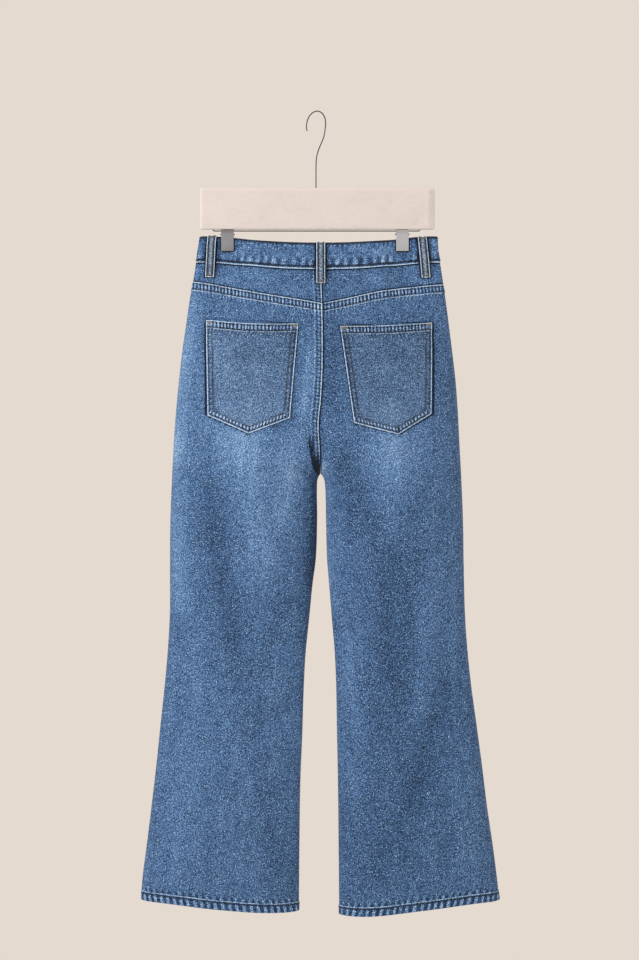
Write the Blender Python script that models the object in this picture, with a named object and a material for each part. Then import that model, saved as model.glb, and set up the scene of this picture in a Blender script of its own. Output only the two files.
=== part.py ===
"""Bootcut jeans hanging by two clips from a wire hanger with a cloth covered bar.

Sizes are in millimetres and are turned into metres when a mesh is made. The frame has +Z up,
with its origin where the hook's inner top rests on a rail. The fly faces -Y, the back pockets
face +Y and +X is the wearer's left. A drop is a distance below the hook's seat.

Each leg is described by horizontal sections. A section is a flat lens, the core, with a cloth
surface a fold radius outside it. Above the crotch the lens is cut by the centre plane, so that
left and right panels meet there, and below it the lens closes round the leg.
"""

import math
from collections import namedtuple
from functools import lru_cache

import bmesh
import bpy
import numpy as np

MM = 0.001
SEAM_GAP = 0.3  # between neighbouring pieces
HALF_GAP = SEAM_GAP / 2
LAY_GAP = 0.5  # between a panel and a piece that lies on it

LEFT, RIGHT = 1, -1
BACK, FRONT = 1, -1
NAMES = {LEFT: "left", RIGHT: "right"}

# ---------------------------------------------------------------- cloth sizes
DENIM = 1.3  # wall of a denim panel
BAND_WALL = 3.0  # the waistband is folded cloth
BAND_PROUD = 0.9  # how far the waistband stands outside the panels
PATCH_WALL = 1.4  # back pockets
FELL_WIDTH, FELL_RISE = 13.0, 0.8  # flat felled seams: the lapped band and its height
HEM_DEPTH, HEM_RISE = 13.5, 0.7  # turned up hems
FACING_GAP, FACING_WALL = 0.95, 1.0  # a front pocket facing, behind the front panel
CENTRE_X = -6.75  # the centre plane of the jeans
CROTCH_DROP = 542.0
BACK_CLEFT_START, FRONT_CLEFT_START = 395.0, 430.0  # where the legs begin to part in a section

# The jeans seen from behind, from the waist to below the hems: x of both side seams.
Outline = namedtuple("Outline", "drop left right")
OUTLINE = [
    Outline(180, 172.5, -181.5),
    Outline(205, 176.6, -182.6),
    Outline(228, 180.2, -186.4),
    Outline(255, 184.5, -190.5),
    Outline(285, 190.0, -194.8),
    Outline(320, 195.0, -199.4),
    Outline(360, 200.8, -204.4),
    Outline(400, 205.3, -209.0),
    Outline(440, 209.2, -212.2),
    Outline(490, 213.0, -214.8),
    Outline(550, 216.0, -218.0),
    Outline(610, 218.4, -220.4),
    Outline(680, 219.0, -221.6),
    Outline(750, 219.2, -223.4),
    Outline(800, 221.8, -226.6),
    Outline(860, 227.0, -232.8),
    Outline(920, 233.4, -241.0),
    Outline(980, 239.6, -249.0),
    Outline(1040, 246.6, -256.4),
    Outline(1100, 254.0, -265.2),
    Outline(1150, 260.4, -271.6),
    Outline(1185, 262.4, -275.4),
    Outline(1230, 263.5, -277.5),
]

# The inner edges of the two legs below the crotch.
Inseam = namedtuple("Inseam", "drop left right")
INSEAM = [
    Inseam(542, -6.6, -6.9),
    Inseam(546, -3.6, -10.2),
    Inseam(551, -1.2, -12.4),
    Inseam(560, 0.0, -13.6),
    Inseam(612, 0.7, -15.0),
    Inseam(672, 1.7, -16.6),
    Inseam(705, 4.8, -19.4),
    Inseam(760, 10.3, -23.8),
    Inseam(810, 15.4, -28.0),
    Inseam(860, 18.2, -30.2),
    Inseam(930, 20.4, -31.4),
    Inseam(1000, 23.3, -32.8),
    Inseam(1090, 24.7, -33.8),
    Inseam(1185, 25.5, -34.6),
    Inseam(1230, 26.0, -35.0),
]

# Depth of the lens behind and before the side seams, and the radius of the fold at its edges.
Depth = namedtuple("Depth", "drop back front fold")
DEPTH = [
    Depth(180, 6.5, 5.5, 3.4),
    Depth(226, 9.0, 7.5, 3.4),
    Depth(260, 15.0, 12.0, 3.8),
    Depth(300, 23.0, 18.0, 5.2),
    Depth(350, 32.0, 24.0, 7.2),
    Depth(400, 37.5, 27.0, 9.0),
    Depth(450, 38.5, 27.5, 10.0),
    Depth(500, 37.0, 26.5, 10.5),
    Depth(550, 34.5, 25.0, 11.0),
    Depth(620, 31.0, 23.5, 11.0),
    Depth(700, 26.5, 21.5, 10.5),
    Depth(800, 22.0, 20.0, 10.0),
    Depth(900, 19.5, 19.0, 10.0),
    Depth(1050, 21.0, 20.5, 11.0),
    Depth(1230, 23.5, 22.0, 12.0),
]
LENS_POWER = 1.15  # 1 is an ellipse, 2 a pointed lens

# The centre back seam wanders a little from the centre plane.
CentreBack = namedtuple("CentreBack", "drop x")
CENTRE_BACK = [
    CentreBack(180, -6.75),
    CentreBack(240, -7.6),
    CentreBack(300, -9.6),
    CentreBack(385, -9.9),
    CentreBack(430, -7.6),
    CentreBack(470, -4.0),
    CentreBack(505, -5.6),
    CentreBack(542, -6.75),
    CentreBack(1230, -6.75),
]

# Drops of the waistband's top edge and lower seam at a distance from the centre, behind.
BandEdge = namedtuple("BandEdge", "distance top seam")
BAND_EDGE = [
    BandEdge(0, 196.8, 237.0),
    BandEdge(30, 196.4, 236.5),
    BandEdge(60, 195.2, 235.3),
    BandEdge(105, 192.2, 231.4),
    BandEdge(130, 189.0, 229.1),
    BandEdge(157, 187.0, 226.8),
    BandEdge(190, 186.5, 226.0),
]
WAIST_LEVELS = {"top": 192.0, "seam": 233.0}  # about where the two edges lie
FRONT_DIP = 8.0  # how much lower the waist is at the centre front

# Drop of the yoke seam at a distance from the centre, on each side.
YokeSeam = namedtuple("YokeSeam", "distance left right")
YOKE_SEAM = [
    YokeSeam(0, 288.6, 288.6),
    YokeSeam(30, 282.9, 282.5),
    YokeSeam(60, 278.0, 275.6),
    YokeSeam(90, 272.7, 269.0),
    YokeSeam(120, 266.9, 264.8),
    YokeSeam(150, 261.3, 261.8),
    YokeSeam(175, 256.9, 259.2),
    YokeSeam(200, 253.4, 257.0),
]

# Drop of each hem at a share of the way from the inseam (0) to the side seam (1).
HemEdge = namedtuple("HemEdge", "share left right")
HEM_EDGE = [
    HemEdge(0.0, 1196.5, 1201.8),
    HemEdge(0.2, 1195.8, 1201.2),
    HemEdge(0.5, 1189.6, 1191.4),
    HemEdge(0.8, 1181.8, 1182.4),
    HemEdge(1.0, 1179.5, 1180.2),
]

# Soft ridges (+) and troughs (-) in the cloth, from a first to a second place.
Fold = namedtuple("Fold", "side face x1 drop1 x2 drop2 width rise")
FOLDS = [
    # behind, below the clips
    Fold(LEFT, BACK, 146, 262, 168, 322, 13, -1.6),
    Fold(RIGHT, BACK, -146, 262, -172, 330, 13, -1.6),
    # behind, the left leg
    Fold(LEFT, BACK, 158, 560, 118, 800, 17, -3.2),
    Fold(LEFT, BACK, 196, 480, 192, 720, 16, 2.2),
    Fold(LEFT, BACK, 100, 500, 84, 660, 22, 2.6),
    Fold(LEFT, BACK, 72, 735, 20, 742, 15, -2.6),
    Fold(LEFT, BACK, 30, 875, 96, 930, 14, -2.4),
    Fold(LEFT, BACK, 176, 980, 204, 1120, 20, 2.4),
    Fold(LEFT, BACK, 72, 1010, 60, 1130, 20, -2.4),
    # behind, the right leg
    Fold(RIGHT, BACK, -58, 540, -104, 650, 16, -3.0),
    Fold(RIGHT, BACK, -112, 500, -116, 620, 22, 2.6),
    Fold(RIGHT, BACK, -104, 690, -112, 850, 20, -2.6),
    Fold(RIGHT, BACK, -164, 735, -156, 890, 15, 2.8),
    Fold(RIGHT, BACK, -196, 860, -150, 1010, 15, -3.0),
    Fold(RIGHT, BACK, -158, 1010, -92, 1130, 17, -2.4),
    Fold(RIGHT, BACK, -216, 1000, -226, 1110, 18, 2.4),
    # before, which the picture hides: a few like them
    Fold(LEFT, FRONT, 40, 520, 120, 470, 16, -2.4),
    Fold(RIGHT, FRONT, -54, 520, -136, 474, 16, -2.4),
    Fold(LEFT, FRONT, 110, 560, 126, 700, 20, 2.4),
    Fold(RIGHT, FRONT, -120, 570, -128, 720, 20, 2.4),
    Fold(LEFT, FRONT, 60, 780, 150, 760, 15, -2.4),
    Fold(RIGHT, FRONT, -70, 770, -160, 792, 15, -2.4),
    Fold(LEFT, FRONT, 120, 900, 170, 1060, 18, -2.2),
    Fold(RIGHT, FRONT, -110, 930, -170, 1080, 18, -2.2),
]
FOLD_EDGE = 26.0  # a fold fades out over this distance from a panel's edge

# Back pockets: x and drop of each corner, and how far the mouth's middle hangs.
Patch = namedtuple("Patch", "side in_x in_drop out_x out_drop low_in_x low_in_drop "
                   "low_out_x low_out_drop point_x point_drop sag")
BACK_POCKETS = [
    Patch(LEFT, 25.9, 319.4, 163.9, 312.8, 38.3, 460.2, 160.2, 456.0, 98.9, 483.1, 3.0),
    Patch(RIGHT, -35.7, 323.2, -173.1, 316.8, -56.2, 467.5, -171.0, 453.6, -121.3, 484.5, 2.0),
]
MOUTH_HEM, MOUTH_RISE = 12.0, 0.6  # the turned hem at a back pocket's mouth

# Belt loops: the face that they are on, and x and drop at the top and at the foot.
Loop = namedtuple("Loop", "name face top_x top_drop foot_x foot_drop")
BELT_LOOPS = [
    Loop("belt_loop_back_left", BACK, 155.6, 185.6, 159.4, 248.4),
    Loop("belt_loop_back_centre", BACK, -7.2, 196.0, -7.2, 258.6),
    Loop("belt_loop_back_right", BACK, -158.6, 187.2, -164.6, 249.2),
    Loop("belt_loop_front_left", FRONT, 80.0, 199.0, 82.0, 262.0),
    Loop("belt_loop_front_right", FRONT, -93.5, 199.0, -95.5, 262.0),
]
LOOP_WIDTH, LOOP_WALL = 13.0, 1.8
# How far a loop's inside stands off the panels' surface, from its top (0) to its foot (1).
LoopRise = namedtuple("LoopRise", "share rise")
LOOP_RISE = [
    LoopRise(0.0, 1.9),
    LoopRise(0.05, 2.9),
    LoopRise(0.14, 5.4),
    LoopRise(0.3, 6.1),
    LoopRise(0.55, 6.0),
    LoopRise(0.74, 4.2),
    LoopRise(0.88, 1.2),
    LoopRise(1.0, 0.7),
]

# Front pocket mouths, the fly and the button.
MOUTH_SHARE = 0.6  # where a mouth leaves the waist seam, as a share of the front's width
MOUTH_SIDE_DROP = 298.0
FACING_LAP = 20.0  # how far a facing runs on behind the front panel
FLY_LAP, FLY_WIDTH, FLY_DROP, FLY_TURN = 5.0, 38.0, 392.0, 46.0
FLY_WALL = 1.2
BAND_OVER, BAND_UNDER, BAND_RAMP = 14.0, 28.0, 34.0  # the waistband's lap at the centre front
BAND_LEVEL = 208.0  # the drop at which the waistband's stations are set out
BUTTON_RADIUS, BUTTON_DEEP, BUTTON_DROP = 8.5, 3.6, 224.5

# ---------------------------------------------------------------- hanger sizes
WIRE = 1.3  # radius of the hanger's wire
HOOK_RADIUS = 20.3  # of the wire's middle, round the rail
HOOK_TURN = math.radians(135)  # the hook's plane, from +X about Z
HOOK_TIP = math.radians(199)
# The shank from the cover up to the round of the hook: how far it leans out, and its drop.
Shank = namedtuple("Shank", "out drop")
SHANK = [
    Shank(0.0, 113.4), Shank(0.0, 98.0), Shank(0.0, 84.0), Shank(0.4, 73.0),
    Shank(2.4, 64.0), Shank(6.4, 55.5), Shank(11.6, 47.5), Shank(15.9, 40.0),
    Shank(18.6, 32.0), Shank(20.0, 24.0),
]
COVER_LEFT, COVER_RIGHT = 174.0, -177.7
COVER_TOP, COVER_BOTTOM, COVER_DEEP = 113.75, 176.05, 12.0
COVER_CORNER = 1.6  # how far the ends' corners are rounded off
RAIL_DROP, RAIL_END, RAIL_BEND = 178.3, 154.8, 1.9
RAIL_MIDDLE = -0.8
CLIP_X = {LEFT: 132.7, RIGHT: -129.4}
CLIP_WIDE, CLIP_WALL = 18.8, 1.0
CLIP_TOP, CLIP_BOTTOM = 176.7, 209.0
CLIP_GRIP = 5.0  # from the middle to a jaw's inner face
PIN_DROP, PIN_RADIUS, PIN_LONG = 183.4, 1.1, 21.6
EAR_WALL, EAR_TOP, EAR_FOOT, EAR_PAST = 0.9, 181.0, 185.9, 2.4
PINCH_WIDE, PINCH_DEEP, PINCH_FADE = 25.0, 222.0, 90.0  # how a clip presses the lens flat

# ---------------------------------------------------------------- colours and finishes
Finish = namedtuple("Finish", "red green blue rough metal")
FINISHES = {
    "denim": Finish(0.16, 0.27, 0.45, 0.85, 0.0),
    "pale_denim": Finish(0.22, 0.34, 0.52, 0.85, 0.0),
    "cover_cloth": Finish(0.80, 0.75, 0.66, 0.9, 0.0),
    "steel": Finish(0.62, 0.62, 0.62, 0.35, 1.0),
    "clip_steel": Finish(0.50, 0.50, 0.50, 0.45, 1.0),
    "button_metal": Finish(0.45, 0.33, 0.20, 0.4, 1.0),
}


# ---------------------------------------------------------------- tables and curves
def read_table(rows, column, place):
    """A smooth curve through one column of a table, at places along its first column."""
    at = np.array([row[0] for row in rows], dtype=float)
    value = np.array([getattr(row, column) for row in rows], dtype=float)
    step = np.diff(value) / np.diff(at)
    slope = np.concatenate(([step[0]], (step[:-1] + step[1:]) / 2, [step[-1]]))
    place = np.clip(np.asarray(place, dtype=float), at[0], at[-1])
    low = np.clip(np.searchsorted(at, place, side="right") - 1, 0, len(at) - 2)
    span = at[low + 1] - at[low]
    u = (place - at[low]) / span
    return ((1 + 2 * u) * (1 - u) ** 2 * value[low] + u * (1 - u) ** 2 * span * slope[low]
            + u * u * (3 - 2 * u) * value[low + 1] + u * u * (u - 1) * span * slope[low + 1])


def ease(u):
    """0 to 1 with level ends."""
    u = np.clip(u, 0, 1)
    return u * u * (3 - 2 * u)


def mix(a, b, u):
    return a + (b - a) * u


def centre_x(face, drop):
    return float(read_table(CENTRE_BACK, "x", drop)) if face == BACK else CENTRE_X


def band_edge(face, distance, column):
    """Drop of the waistband's top or of its seam at a distance from the centre."""
    drop = read_table(BAND_EDGE, column, abs(distance))
    if face == FRONT:
        drop = drop + FRONT_DIP * ease(1 - abs(distance) / BAND_EDGE[-1].distance)
    return float(drop)


# ---------------------------------------------------------------- sections of the cloth
def pinch(side, distance, drop):
    """How far the clips press the lens flat, 0 to 1."""
    clip = abs(CLIP_X[side] - CENTRE_X)
    across = np.exp(-(np.abs(distance - clip) / PINCH_WIDE) ** 4)
    return across * (1 - ease((drop - PINCH_DEEP) / PINCH_FADE))


Section = namedtuple("Section", "run distance depth out_x out_y fold surface")


@lru_cache(maxsize=None)
def section(side, face, drop, samples=96, round_steps=9):
    """Half a section, from the centre plane or the inseam to the side seam.

    run is the length along the cloth's outside, distance and depth give the core, out_x and
    out_y its outward direction, and surface the distance of the outside from the centre.
    """
    middle = centre_x(face, drop)
    wide = abs(float(read_table(OUTLINE, NAMES[side], drop)) - middle) - HALF_GAP
    deep = float(read_table(DEPTH, "back" if face == BACK else "front", drop))
    fold = float(read_table(DEPTH, "fold", drop))
    start = BACK_CLEFT_START if face == BACK else FRONT_CLEFT_START
    if drop < CROTCH_DROP:
        part = max(0.0, (drop - start) / (CROTCH_DROP - start)) ** 2
        half = wide / (1 + part)
        centre = HALF_GAP + wide - half
    else:
        inner = abs(float(read_table(INSEAM, NAMES[side], drop)) - middle)
        half = (wide + HALF_GAP - inner) / 2
        centre = inner + half
    turn = np.linspace(0, math.pi, samples)
    distance = centre - (half - fold) * np.cos(turn)
    depth = deep * np.clip(np.sin(turn), 0, 1) ** LENS_POWER * (1 - pinch(side, distance, drop))
    along_x, along_y = np.gradient(distance), np.gradient(depth)
    first = math.atan2(along_x[0], -along_y[0])
    last = math.atan2(along_x[-1], -along_y[-1])
    caps = (np.linspace(math.pi, first, round_steps)[:-1], np.linspace(last, 0, round_steps)[1:])
    size = np.hypot(along_x, along_y)
    out_x = np.concatenate((np.cos(caps[0]), -along_y / size, np.cos(caps[1])))
    out_y = np.concatenate((np.sin(caps[0]), along_x / size, np.sin(caps[1])))
    ends = round_steps - 1
    distance = np.concatenate(([distance[0]] * ends, distance, [distance[-1]] * ends))
    depth = np.concatenate(([0.0] * ends, depth, [0.0] * ends))
    surface = distance + fold * out_x
    proud = depth + fold * out_y
    below = np.nonzero(surface < HALF_GAP)[0]
    if len(below):  # cut the lens at the centre plane
        i = below[-1]
        u = (HALF_GAP - surface[i]) / (surface[i + 1] - surface[i])
        columns = [np.concatenate(([mix(c[i], c[i + 1], u)], c[i + 1:]))
                   for c in (distance, depth, out_x, out_y, surface, proud)]
        distance, depth, out_x, out_y, surface, proud = columns
    run = np.concatenate(([0], np.cumsum(np.hypot(np.diff(surface), np.diff(proud)))))
    return Section(run, distance, depth, out_x, out_y, fold, surface)


def fold_rise(side, face, x, drop):
    """Height of the soft folds at a place on a panel."""
    total = 0.0
    for f in FOLDS:
        if (f.side, f.face) != (side, face):
            continue
        dx, dd = f.x2 - f.x1, f.drop2 - f.drop1
        long = math.hypot(dx, dd)
        u = ((x - f.x1) * dx + (drop - f.drop1) * dd) / long ** 2
        off = ((x - f.x1) * dd - (drop - f.drop1) * dx) / long
        past = max(0.0, -u, u - 1) * long
        total += f.rise * math.exp(-(off / f.width) ** 2 - (past / (1.6 * f.width)) ** 2)
    return total


def surface_point(side, face, drop, share, lift=0.0):
    """A point of the cloth's outside, moved out by lift. share runs from centre to side seam."""
    cut = section(side, face, drop)
    run = share * cut.run[-1]
    distance, depth, out_x, out_y = (np.interp(run, cut.run, c) for c in
                                     (cut.distance, cut.depth, cut.out_x, cut.out_y))
    size = math.hypot(out_x, out_y)
    edge = min(run, cut.run[-1] - run)
    x = centre_x(face, drop) + side * distance
    away = cut.fold + lift + fold_rise(side, face, x, drop) * float(ease(edge / FOLD_EDGE))
    return (centre_x(face, drop) + side * (distance + away * out_x / size),
            face * (HALF_GAP + depth + away * out_y / size),
            -drop)


def share_at(side, face, drop, x):
    """The share at which the cloth's outside has this x."""
    cut = section(side, face, drop)
    distance = abs(x - centre_x(face, drop))
    return float(np.interp(distance, cut.surface, cut.run)) / cut.run[-1]


def run_length(side, face, drop):
    return section(side, face, drop).run[-1]


@lru_cache(maxsize=None)
def waist_drop(side, face, share, column):
    """Drop of the waistband's top edge or seam at a share of the way to the side seam."""
    level = WAIST_LEVELS[column]
    x = surface_point(side, face, level, share)[0]
    return band_edge(face, abs(x - centre_x(face, level)), column)


# ---------------------------------------------------------------- making meshes
def finish_of(slot):
    material = bpy.data.materials.get(slot)
    if material is None:
        f = FINISHES[slot]
        material = bpy.data.materials.new(slot)
        material.use_nodes = True
        shader = material.node_tree.nodes["Principled BSDF"]
        shader.inputs["Base Color"].default_value = (f.red, f.green, f.blue, 1)
        shader.inputs["Roughness"].default_value = f.rough
        shader.inputs["Metallic"].default_value = f.metal
    return material


def add_object(name, bm, slot):
    bmesh.ops.recalc_face_normals(bm, faces=bm.faces)
    mesh = bpy.data.meshes.new(name)
    bm.to_mesh(mesh)
    bm.free()
    mesh.shade_smooth()
    mesh.set_sharp_from_angle(angle=math.radians(40))
    mesh.materials.append(finish_of(slot))
    ob = bpy.data.objects.new(name, mesh)
    bpy.context.scene.collection.objects.link(ob)
    return ob


def wall(name, outer, inner, slot):
    """A closed wall between two grids of points with the same rows and columns."""
    bm = bmesh.new()
    grids = [[[bm.verts.new([c * MM for c in p]) for p in row] for row in grid]
             for grid in (outer, inner)]
    rows, columns = len(outer), len(outer[0])
    for grid in grids:
        for i in range(rows - 1):
            for j in range(columns - 1):
                bm.faces.new((grid[i][j], grid[i][j + 1], grid[i + 1][j + 1], grid[i + 1][j]))
    rim = ([(0, j) for j in range(columns)] + [(i, columns - 1) for i in range(1, rows)]
           + [(rows - 1, j) for j in range(columns - 2, -1, -1)]
           + [(i, 0) for i in range(rows - 2, 0, -1)])
    for (i, j), (k, m) in zip(rim, rim[1:] + rim[:1]):
        bm.faces.new((grids[0][i][j], grids[1][i][j], grids[1][k][m], grids[0][k][m]))
    return add_object(name, bm, slot)


def tube(name, points, radius, slot, sides=2):
    """A round wire along points, with filled ends."""
    curve = bpy.data.curves.new(name, "CURVE")
    curve.dimensions = "3D"
    curve.bevel_depth = radius * MM
    curve.bevel_resolution = sides
    curve.use_fill_caps = True
    spline = curve.splines.new("POLY")
    spline.points.add(len(points) - 1)
    for place, point in zip(spline.points, points):
        place.co = (*(c * MM for c in point), 1)
    curve.materials.append(finish_of(slot))
    ob = bpy.data.objects.new(name, curve)
    bpy.context.scene.collection.objects.link(ob)
    return ob


def prism(name, profile, x_low, x_high, slot):
    """A profile of (y, drop) points swept along X."""
    bm = bmesh.new()
    ends = [[bm.verts.new((x * MM, y * MM, -drop * MM)) for y, drop in profile]
            for x in (x_low, x_high)]
    bm.faces.new(ends[0])
    bm.faces.new(ends[1][::-1])
    for i in range(len(profile)):
        k = (i + 1) % len(profile)
        bm.faces.new((ends[0][i], ends[0][k], ends[1][k], ends[1][i]))
    return add_object(name, bm, slot)


def turned(name, profile, centre, axis, slot, sides=20):
    """A turned solid: (distance along the axis, radius) points, both ends closed."""
    bm = bmesh.new()
    rings = []
    for along, radius in profile:
        ring = []
        for k in range(sides):
            angle = 2 * math.pi * k / sides
            u, v = radius * math.cos(angle), radius * math.sin(angle)
            offset = (along, u, v) if axis == "X" else (u, along, v)
            ring.append(bm.verts.new([(c + o) * MM for c, o in zip(centre, offset)]))
        rings.append(ring)
    for a, b in zip(rings, rings[1:]):
        for k in range(sides):
            m = (k + 1) % sides
            bm.faces.new((a[k], a[m], b[m], b[k]))
    bm.faces.new(rings[0])
    bm.faces.new(rings[-1])
    return add_object(name, bm, slot)


def combine(ob, other, operation):
    """Joins or cuts ob with other, which is then only a hidden guide."""
    step = ob.modifiers.new(operation.lower(), "BOOLEAN")
    step.operation = operation
    step.object = other
    step.solver = "EXACT"
    other.hide_render = True
    other.display_type = "WIRE"


# ---------------------------------------------------------------- spacing of rows and columns
def spread(count):
    """Shares from 0 to 1 that lie closer together near both ends."""
    u = np.arange(count + 1) / count
    return list(0.45 * u + 0.55 * (1 - np.cos(math.pi * u)) / 2)


EDGE_STEPS = [0.0, 2.5, 7.0, 15.0]  # columns close to a panel's folded edge
FELL_STEPS = [0.0, 3.0, 8.0, FELL_WIDTH, FELL_WIDTH + 1.0]


def columns_across(run, near, count):
    """Shares across a panel: close columns at both edges and even ones between them."""
    far = [run - step for step in EDGE_STEPS[::-1]]
    even = [mix(near[-1], far[0], k / (count + 1)) for k in range(1, count + 1)]
    return [place / run for place in near + even + far]


def back_columns(side, drop):
    return columns_across(run_length(side, BACK, drop), FELL_STEPS, 7)


def front_columns(side, drop):
    return columns_across(run_length(side, FRONT, drop), EDGE_STEPS, 6)


def column_place(column):
    """How far a back panel's column is from the centre back seam, if it is near it."""
    return FELL_STEPS[column] if column < len(FELL_STEPS) else math.inf


def fell_lift(side, column, drop):
    """The wearer's left back laps over the right, down to the crotch."""
    if side != LEFT or FELL_STEPS[-1] - 1 < column_place(column):
        return 0.0
    return FELL_RISE * (1 - float(ease((drop - CROTCH_DROP + 60) / 60)))


# ---------------------------------------------------------------- the pieces of the jeans
def yoke(side):
    rows = 4
    outer, inner = [], []
    for i in range(rows + 1):
        u = i / rows
        line_out, line_in = [], []
        for j, share in enumerate(back_columns(side, YOKE_LEVEL)):
            distance = yoke_distance(side, share)
            top = waist_drop(side, BACK, share, "seam") + HALF_GAP
            low = float(read_table(YOKE_SEAM, NAMES[side], distance)) - HALF_GAP
            drop = mix(top, low, u)
            lift = fell_lift(side, j, drop)
            line_out.append(surface_point(side, BACK, drop, share, lift))
            line_in.append(surface_point(side, BACK, drop, share, -DENIM))
        outer.append(line_out)
        inner.append(line_in)
    return wall(f"yoke_{NAMES[side]}", outer, inner, "denim")


YOKE_LEVEL = 262.0  # the drop at which the yokes' columns are set out


@lru_cache(maxsize=None)
def yoke_distance(side, share):
    """Distance from the centre of a share across the seat, at the height of the yoke seam."""
    x = surface_point(side, BACK, YOKE_LEVEL, share)[0]
    return abs(x - centre_x(BACK, YOKE_LEVEL))


SEAT_ROWS = [330, 360, 390, 418, 444, 468, 488, 505, 519, 530, 537, 541.9]
LEG_ROWS = [546, 552, 562, 580, 605, 632, 660, 690, 722, 756, 792, 830, 870, 912, 954, 996,
            1038, 1080, 1120, 1152]
TOP_BLEND, FRONT_BLEND, HEM_BLEND = 318.0, 328.0, 1165.0  # first and last level rows


def hem_drop(side, share):
    return float(read_table(HEM_EDGE, NAMES[side], share))


def back_panel(side):
    name = NAMES[side]
    shares = back_columns(side, YOKE_LEVEL)
    outer, inner = [], []
    fell_rows = [0.0, FELL_WIDTH, FELL_WIDTH + 1.0]

    def add_row(places):
        outer.append([surface_point(side, BACK, drop, share, lift) for drop, share, lift in places])
        inner.append([surface_point(side, BACK, drop, share, -DENIM) for drop, share, _ in places])

    for k, below in enumerate(fell_rows):
        rise = FELL_RISE if k < 2 else 0.0
        places = []
        for j, share in enumerate(shares):
            seam = float(read_table(YOKE_SEAM, name, yoke_distance(side, share)))
            drop = seam + HALF_GAP + below
            places.append((drop, share, max(rise, fell_lift(side, j, drop))))
        add_row(places)
    for drop in [TOP_BLEND] + SEAT_ROWS + LEG_ROWS:
        columns = back_columns(side, float(drop))
        add_row([(float(drop), share, fell_lift(side, j, drop))
                 for j, share in enumerate(columns)])
    shares = back_columns(side, HEM_BLEND)
    for above, rise in ((HEM_DEPTH + 1, 0.0), (HEM_DEPTH, HEM_RISE), (0.0, HEM_RISE)):
        add_row([(hem_drop(side, share) - above, share, rise * hem_fade(share))
                 for share in shares])
    return wall(f"back_{name}", outer, inner, "denim")


def hem_fade(share):
    """Keeps a raised band level with its neighbour where two panels meet."""
    return 1.0 if 0 < share < 1 else 0.5


def front_top(side, column, last):
    """Share and drop of the front panel's top edge: along the waist, then down the scoop."""
    if column <= WAIST_COLUMNS:
        share = MOUTH_SHARE * column / WAIST_COLUMNS
        return share, front_waist(side, share)
    if last - column < len(EDGE_STEPS):
        gone = EDGE_STEPS[last - column] / run_length(side, FRONT, MOUTH_SIDE_DROP)
        turn = math.acos(gone / (1 - MOUTH_SHARE))
    else:
        turn = math.radians(SCOOP_TURNS[column - WAIST_COLUMNS - 1])
    waist = front_waist(side, MOUTH_SHARE)
    return (mix(MOUTH_SHARE, 1.0, 1 - math.cos(turn)),
            mix(waist, MOUTH_SIDE_DROP, math.sin(turn)))


def front_waist(side, share):
    return waist_drop(side, FRONT, share, "seam") + HALF_GAP


WAIST_COLUMNS = 5  # columns of a front panel that reach the waist; the rest reach the scoop
SCOOP_TURNS = [20, 36, 50, 62]  # where they do, in degrees round the scoop
FRONT_ROWS = [350, 385, 420, 450, 476, 500, 518, 531, 541.9, 547, 556, 572, 600, 636, 676, 720,
              765, 812, 862, 912, 964, 1016, 1068, 1116, 1150]


def front_panel(side):
    outer, inner = [], []

    def add_row(places):
        outer.append([surface_point(side, FRONT, drop, share, lift)
                      for drop, share, lift in places])
        inner.append([surface_point(side, FRONT, drop, share, -DENIM)
                      for drop, share, _ in places])

    shares = front_columns(side, FRONT_BLEND)
    for u in (0.0, 0.25, 0.6):
        places = []
        for j, share in enumerate(shares):
            top_share, top_drop = front_top(side, j, len(shares) - 1)
            places.append((mix(top_drop, FRONT_BLEND, u), mix(top_share, share, u), 0.0))
        add_row(places)
    for drop in [FRONT_BLEND] + FRONT_ROWS:
        add_row([(float(drop), share, 0.0) for share in front_columns(side, float(drop))])
    for above, rise in ((HEM_DEPTH + 1, 0.0), (HEM_DEPTH, HEM_RISE), (0.0, HEM_RISE)):
        add_row([(hem_drop(side, share) - above, share, rise * hem_fade(share))
                 for share in front_columns(side, HEM_BLEND)])
    return wall(f"front_{NAMES[side]}", outer, inner, "denim")


def pocket_facing(side):
    """The denim that shows inside a front pocket's mouth, behind the front panel."""
    rows, columns = 6, 11
    top_share = MOUTH_SHARE - 0.07
    depth = DENIM + FACING_GAP
    outer, inner = [], []
    for i in range(rows + 1):
        line_out, line_in = [], []
        for j in range(columns + 1):
            share = mix(top_share, 1.0, 1 - (1 - j / columns) ** 1.7)
            drop = mix(front_waist(side, share), MOUTH_SIDE_DROP + FACING_LAP, i / rows)
            line_out.append(surface_point(side, FRONT, drop, share, -depth))
            line_in.append(surface_point(side, FRONT, drop, share, -depth - FACING_WALL))
        outer.append(line_out)
        inner.append(line_in)
    return wall(f"pocket_facing_{NAMES[side]}", outer, inner, "denim")


def fly():
    """The lapped front edge with its curved foot, over the join of the two fronts."""
    rows, columns = 12, 6
    outer, inner = [], []
    for i in range(rows + 1):
        line_out, line_in = [], []
        for j in range(columns + 1):
            u = j / columns
            x = CENTRE_X - FLY_LAP + u * (FLY_LAP + FLY_WIDTH)
            side = LEFT if x >= CENTRE_X else RIGHT
            top = band_edge(FRONT, abs(x - CENTRE_X), "seam") + HALF_GAP
            foot = FLY_DROP - FLY_TURN * (1 - math.sqrt(max(0.0, 1 - u ** 2.4)))
            drop = mix(top, foot, i / rows)
            share = share_at(side, FRONT, drop, x)
            line_out.append(surface_point(side, FRONT, drop, share, LAY_GAP + FLY_WALL))
            line_in.append(surface_point(side, FRONT, drop, share, LAY_GAP))
        outer.append(line_out)
        inner.append(line_in)
    return wall("fly", outer, inner, "denim")


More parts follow.
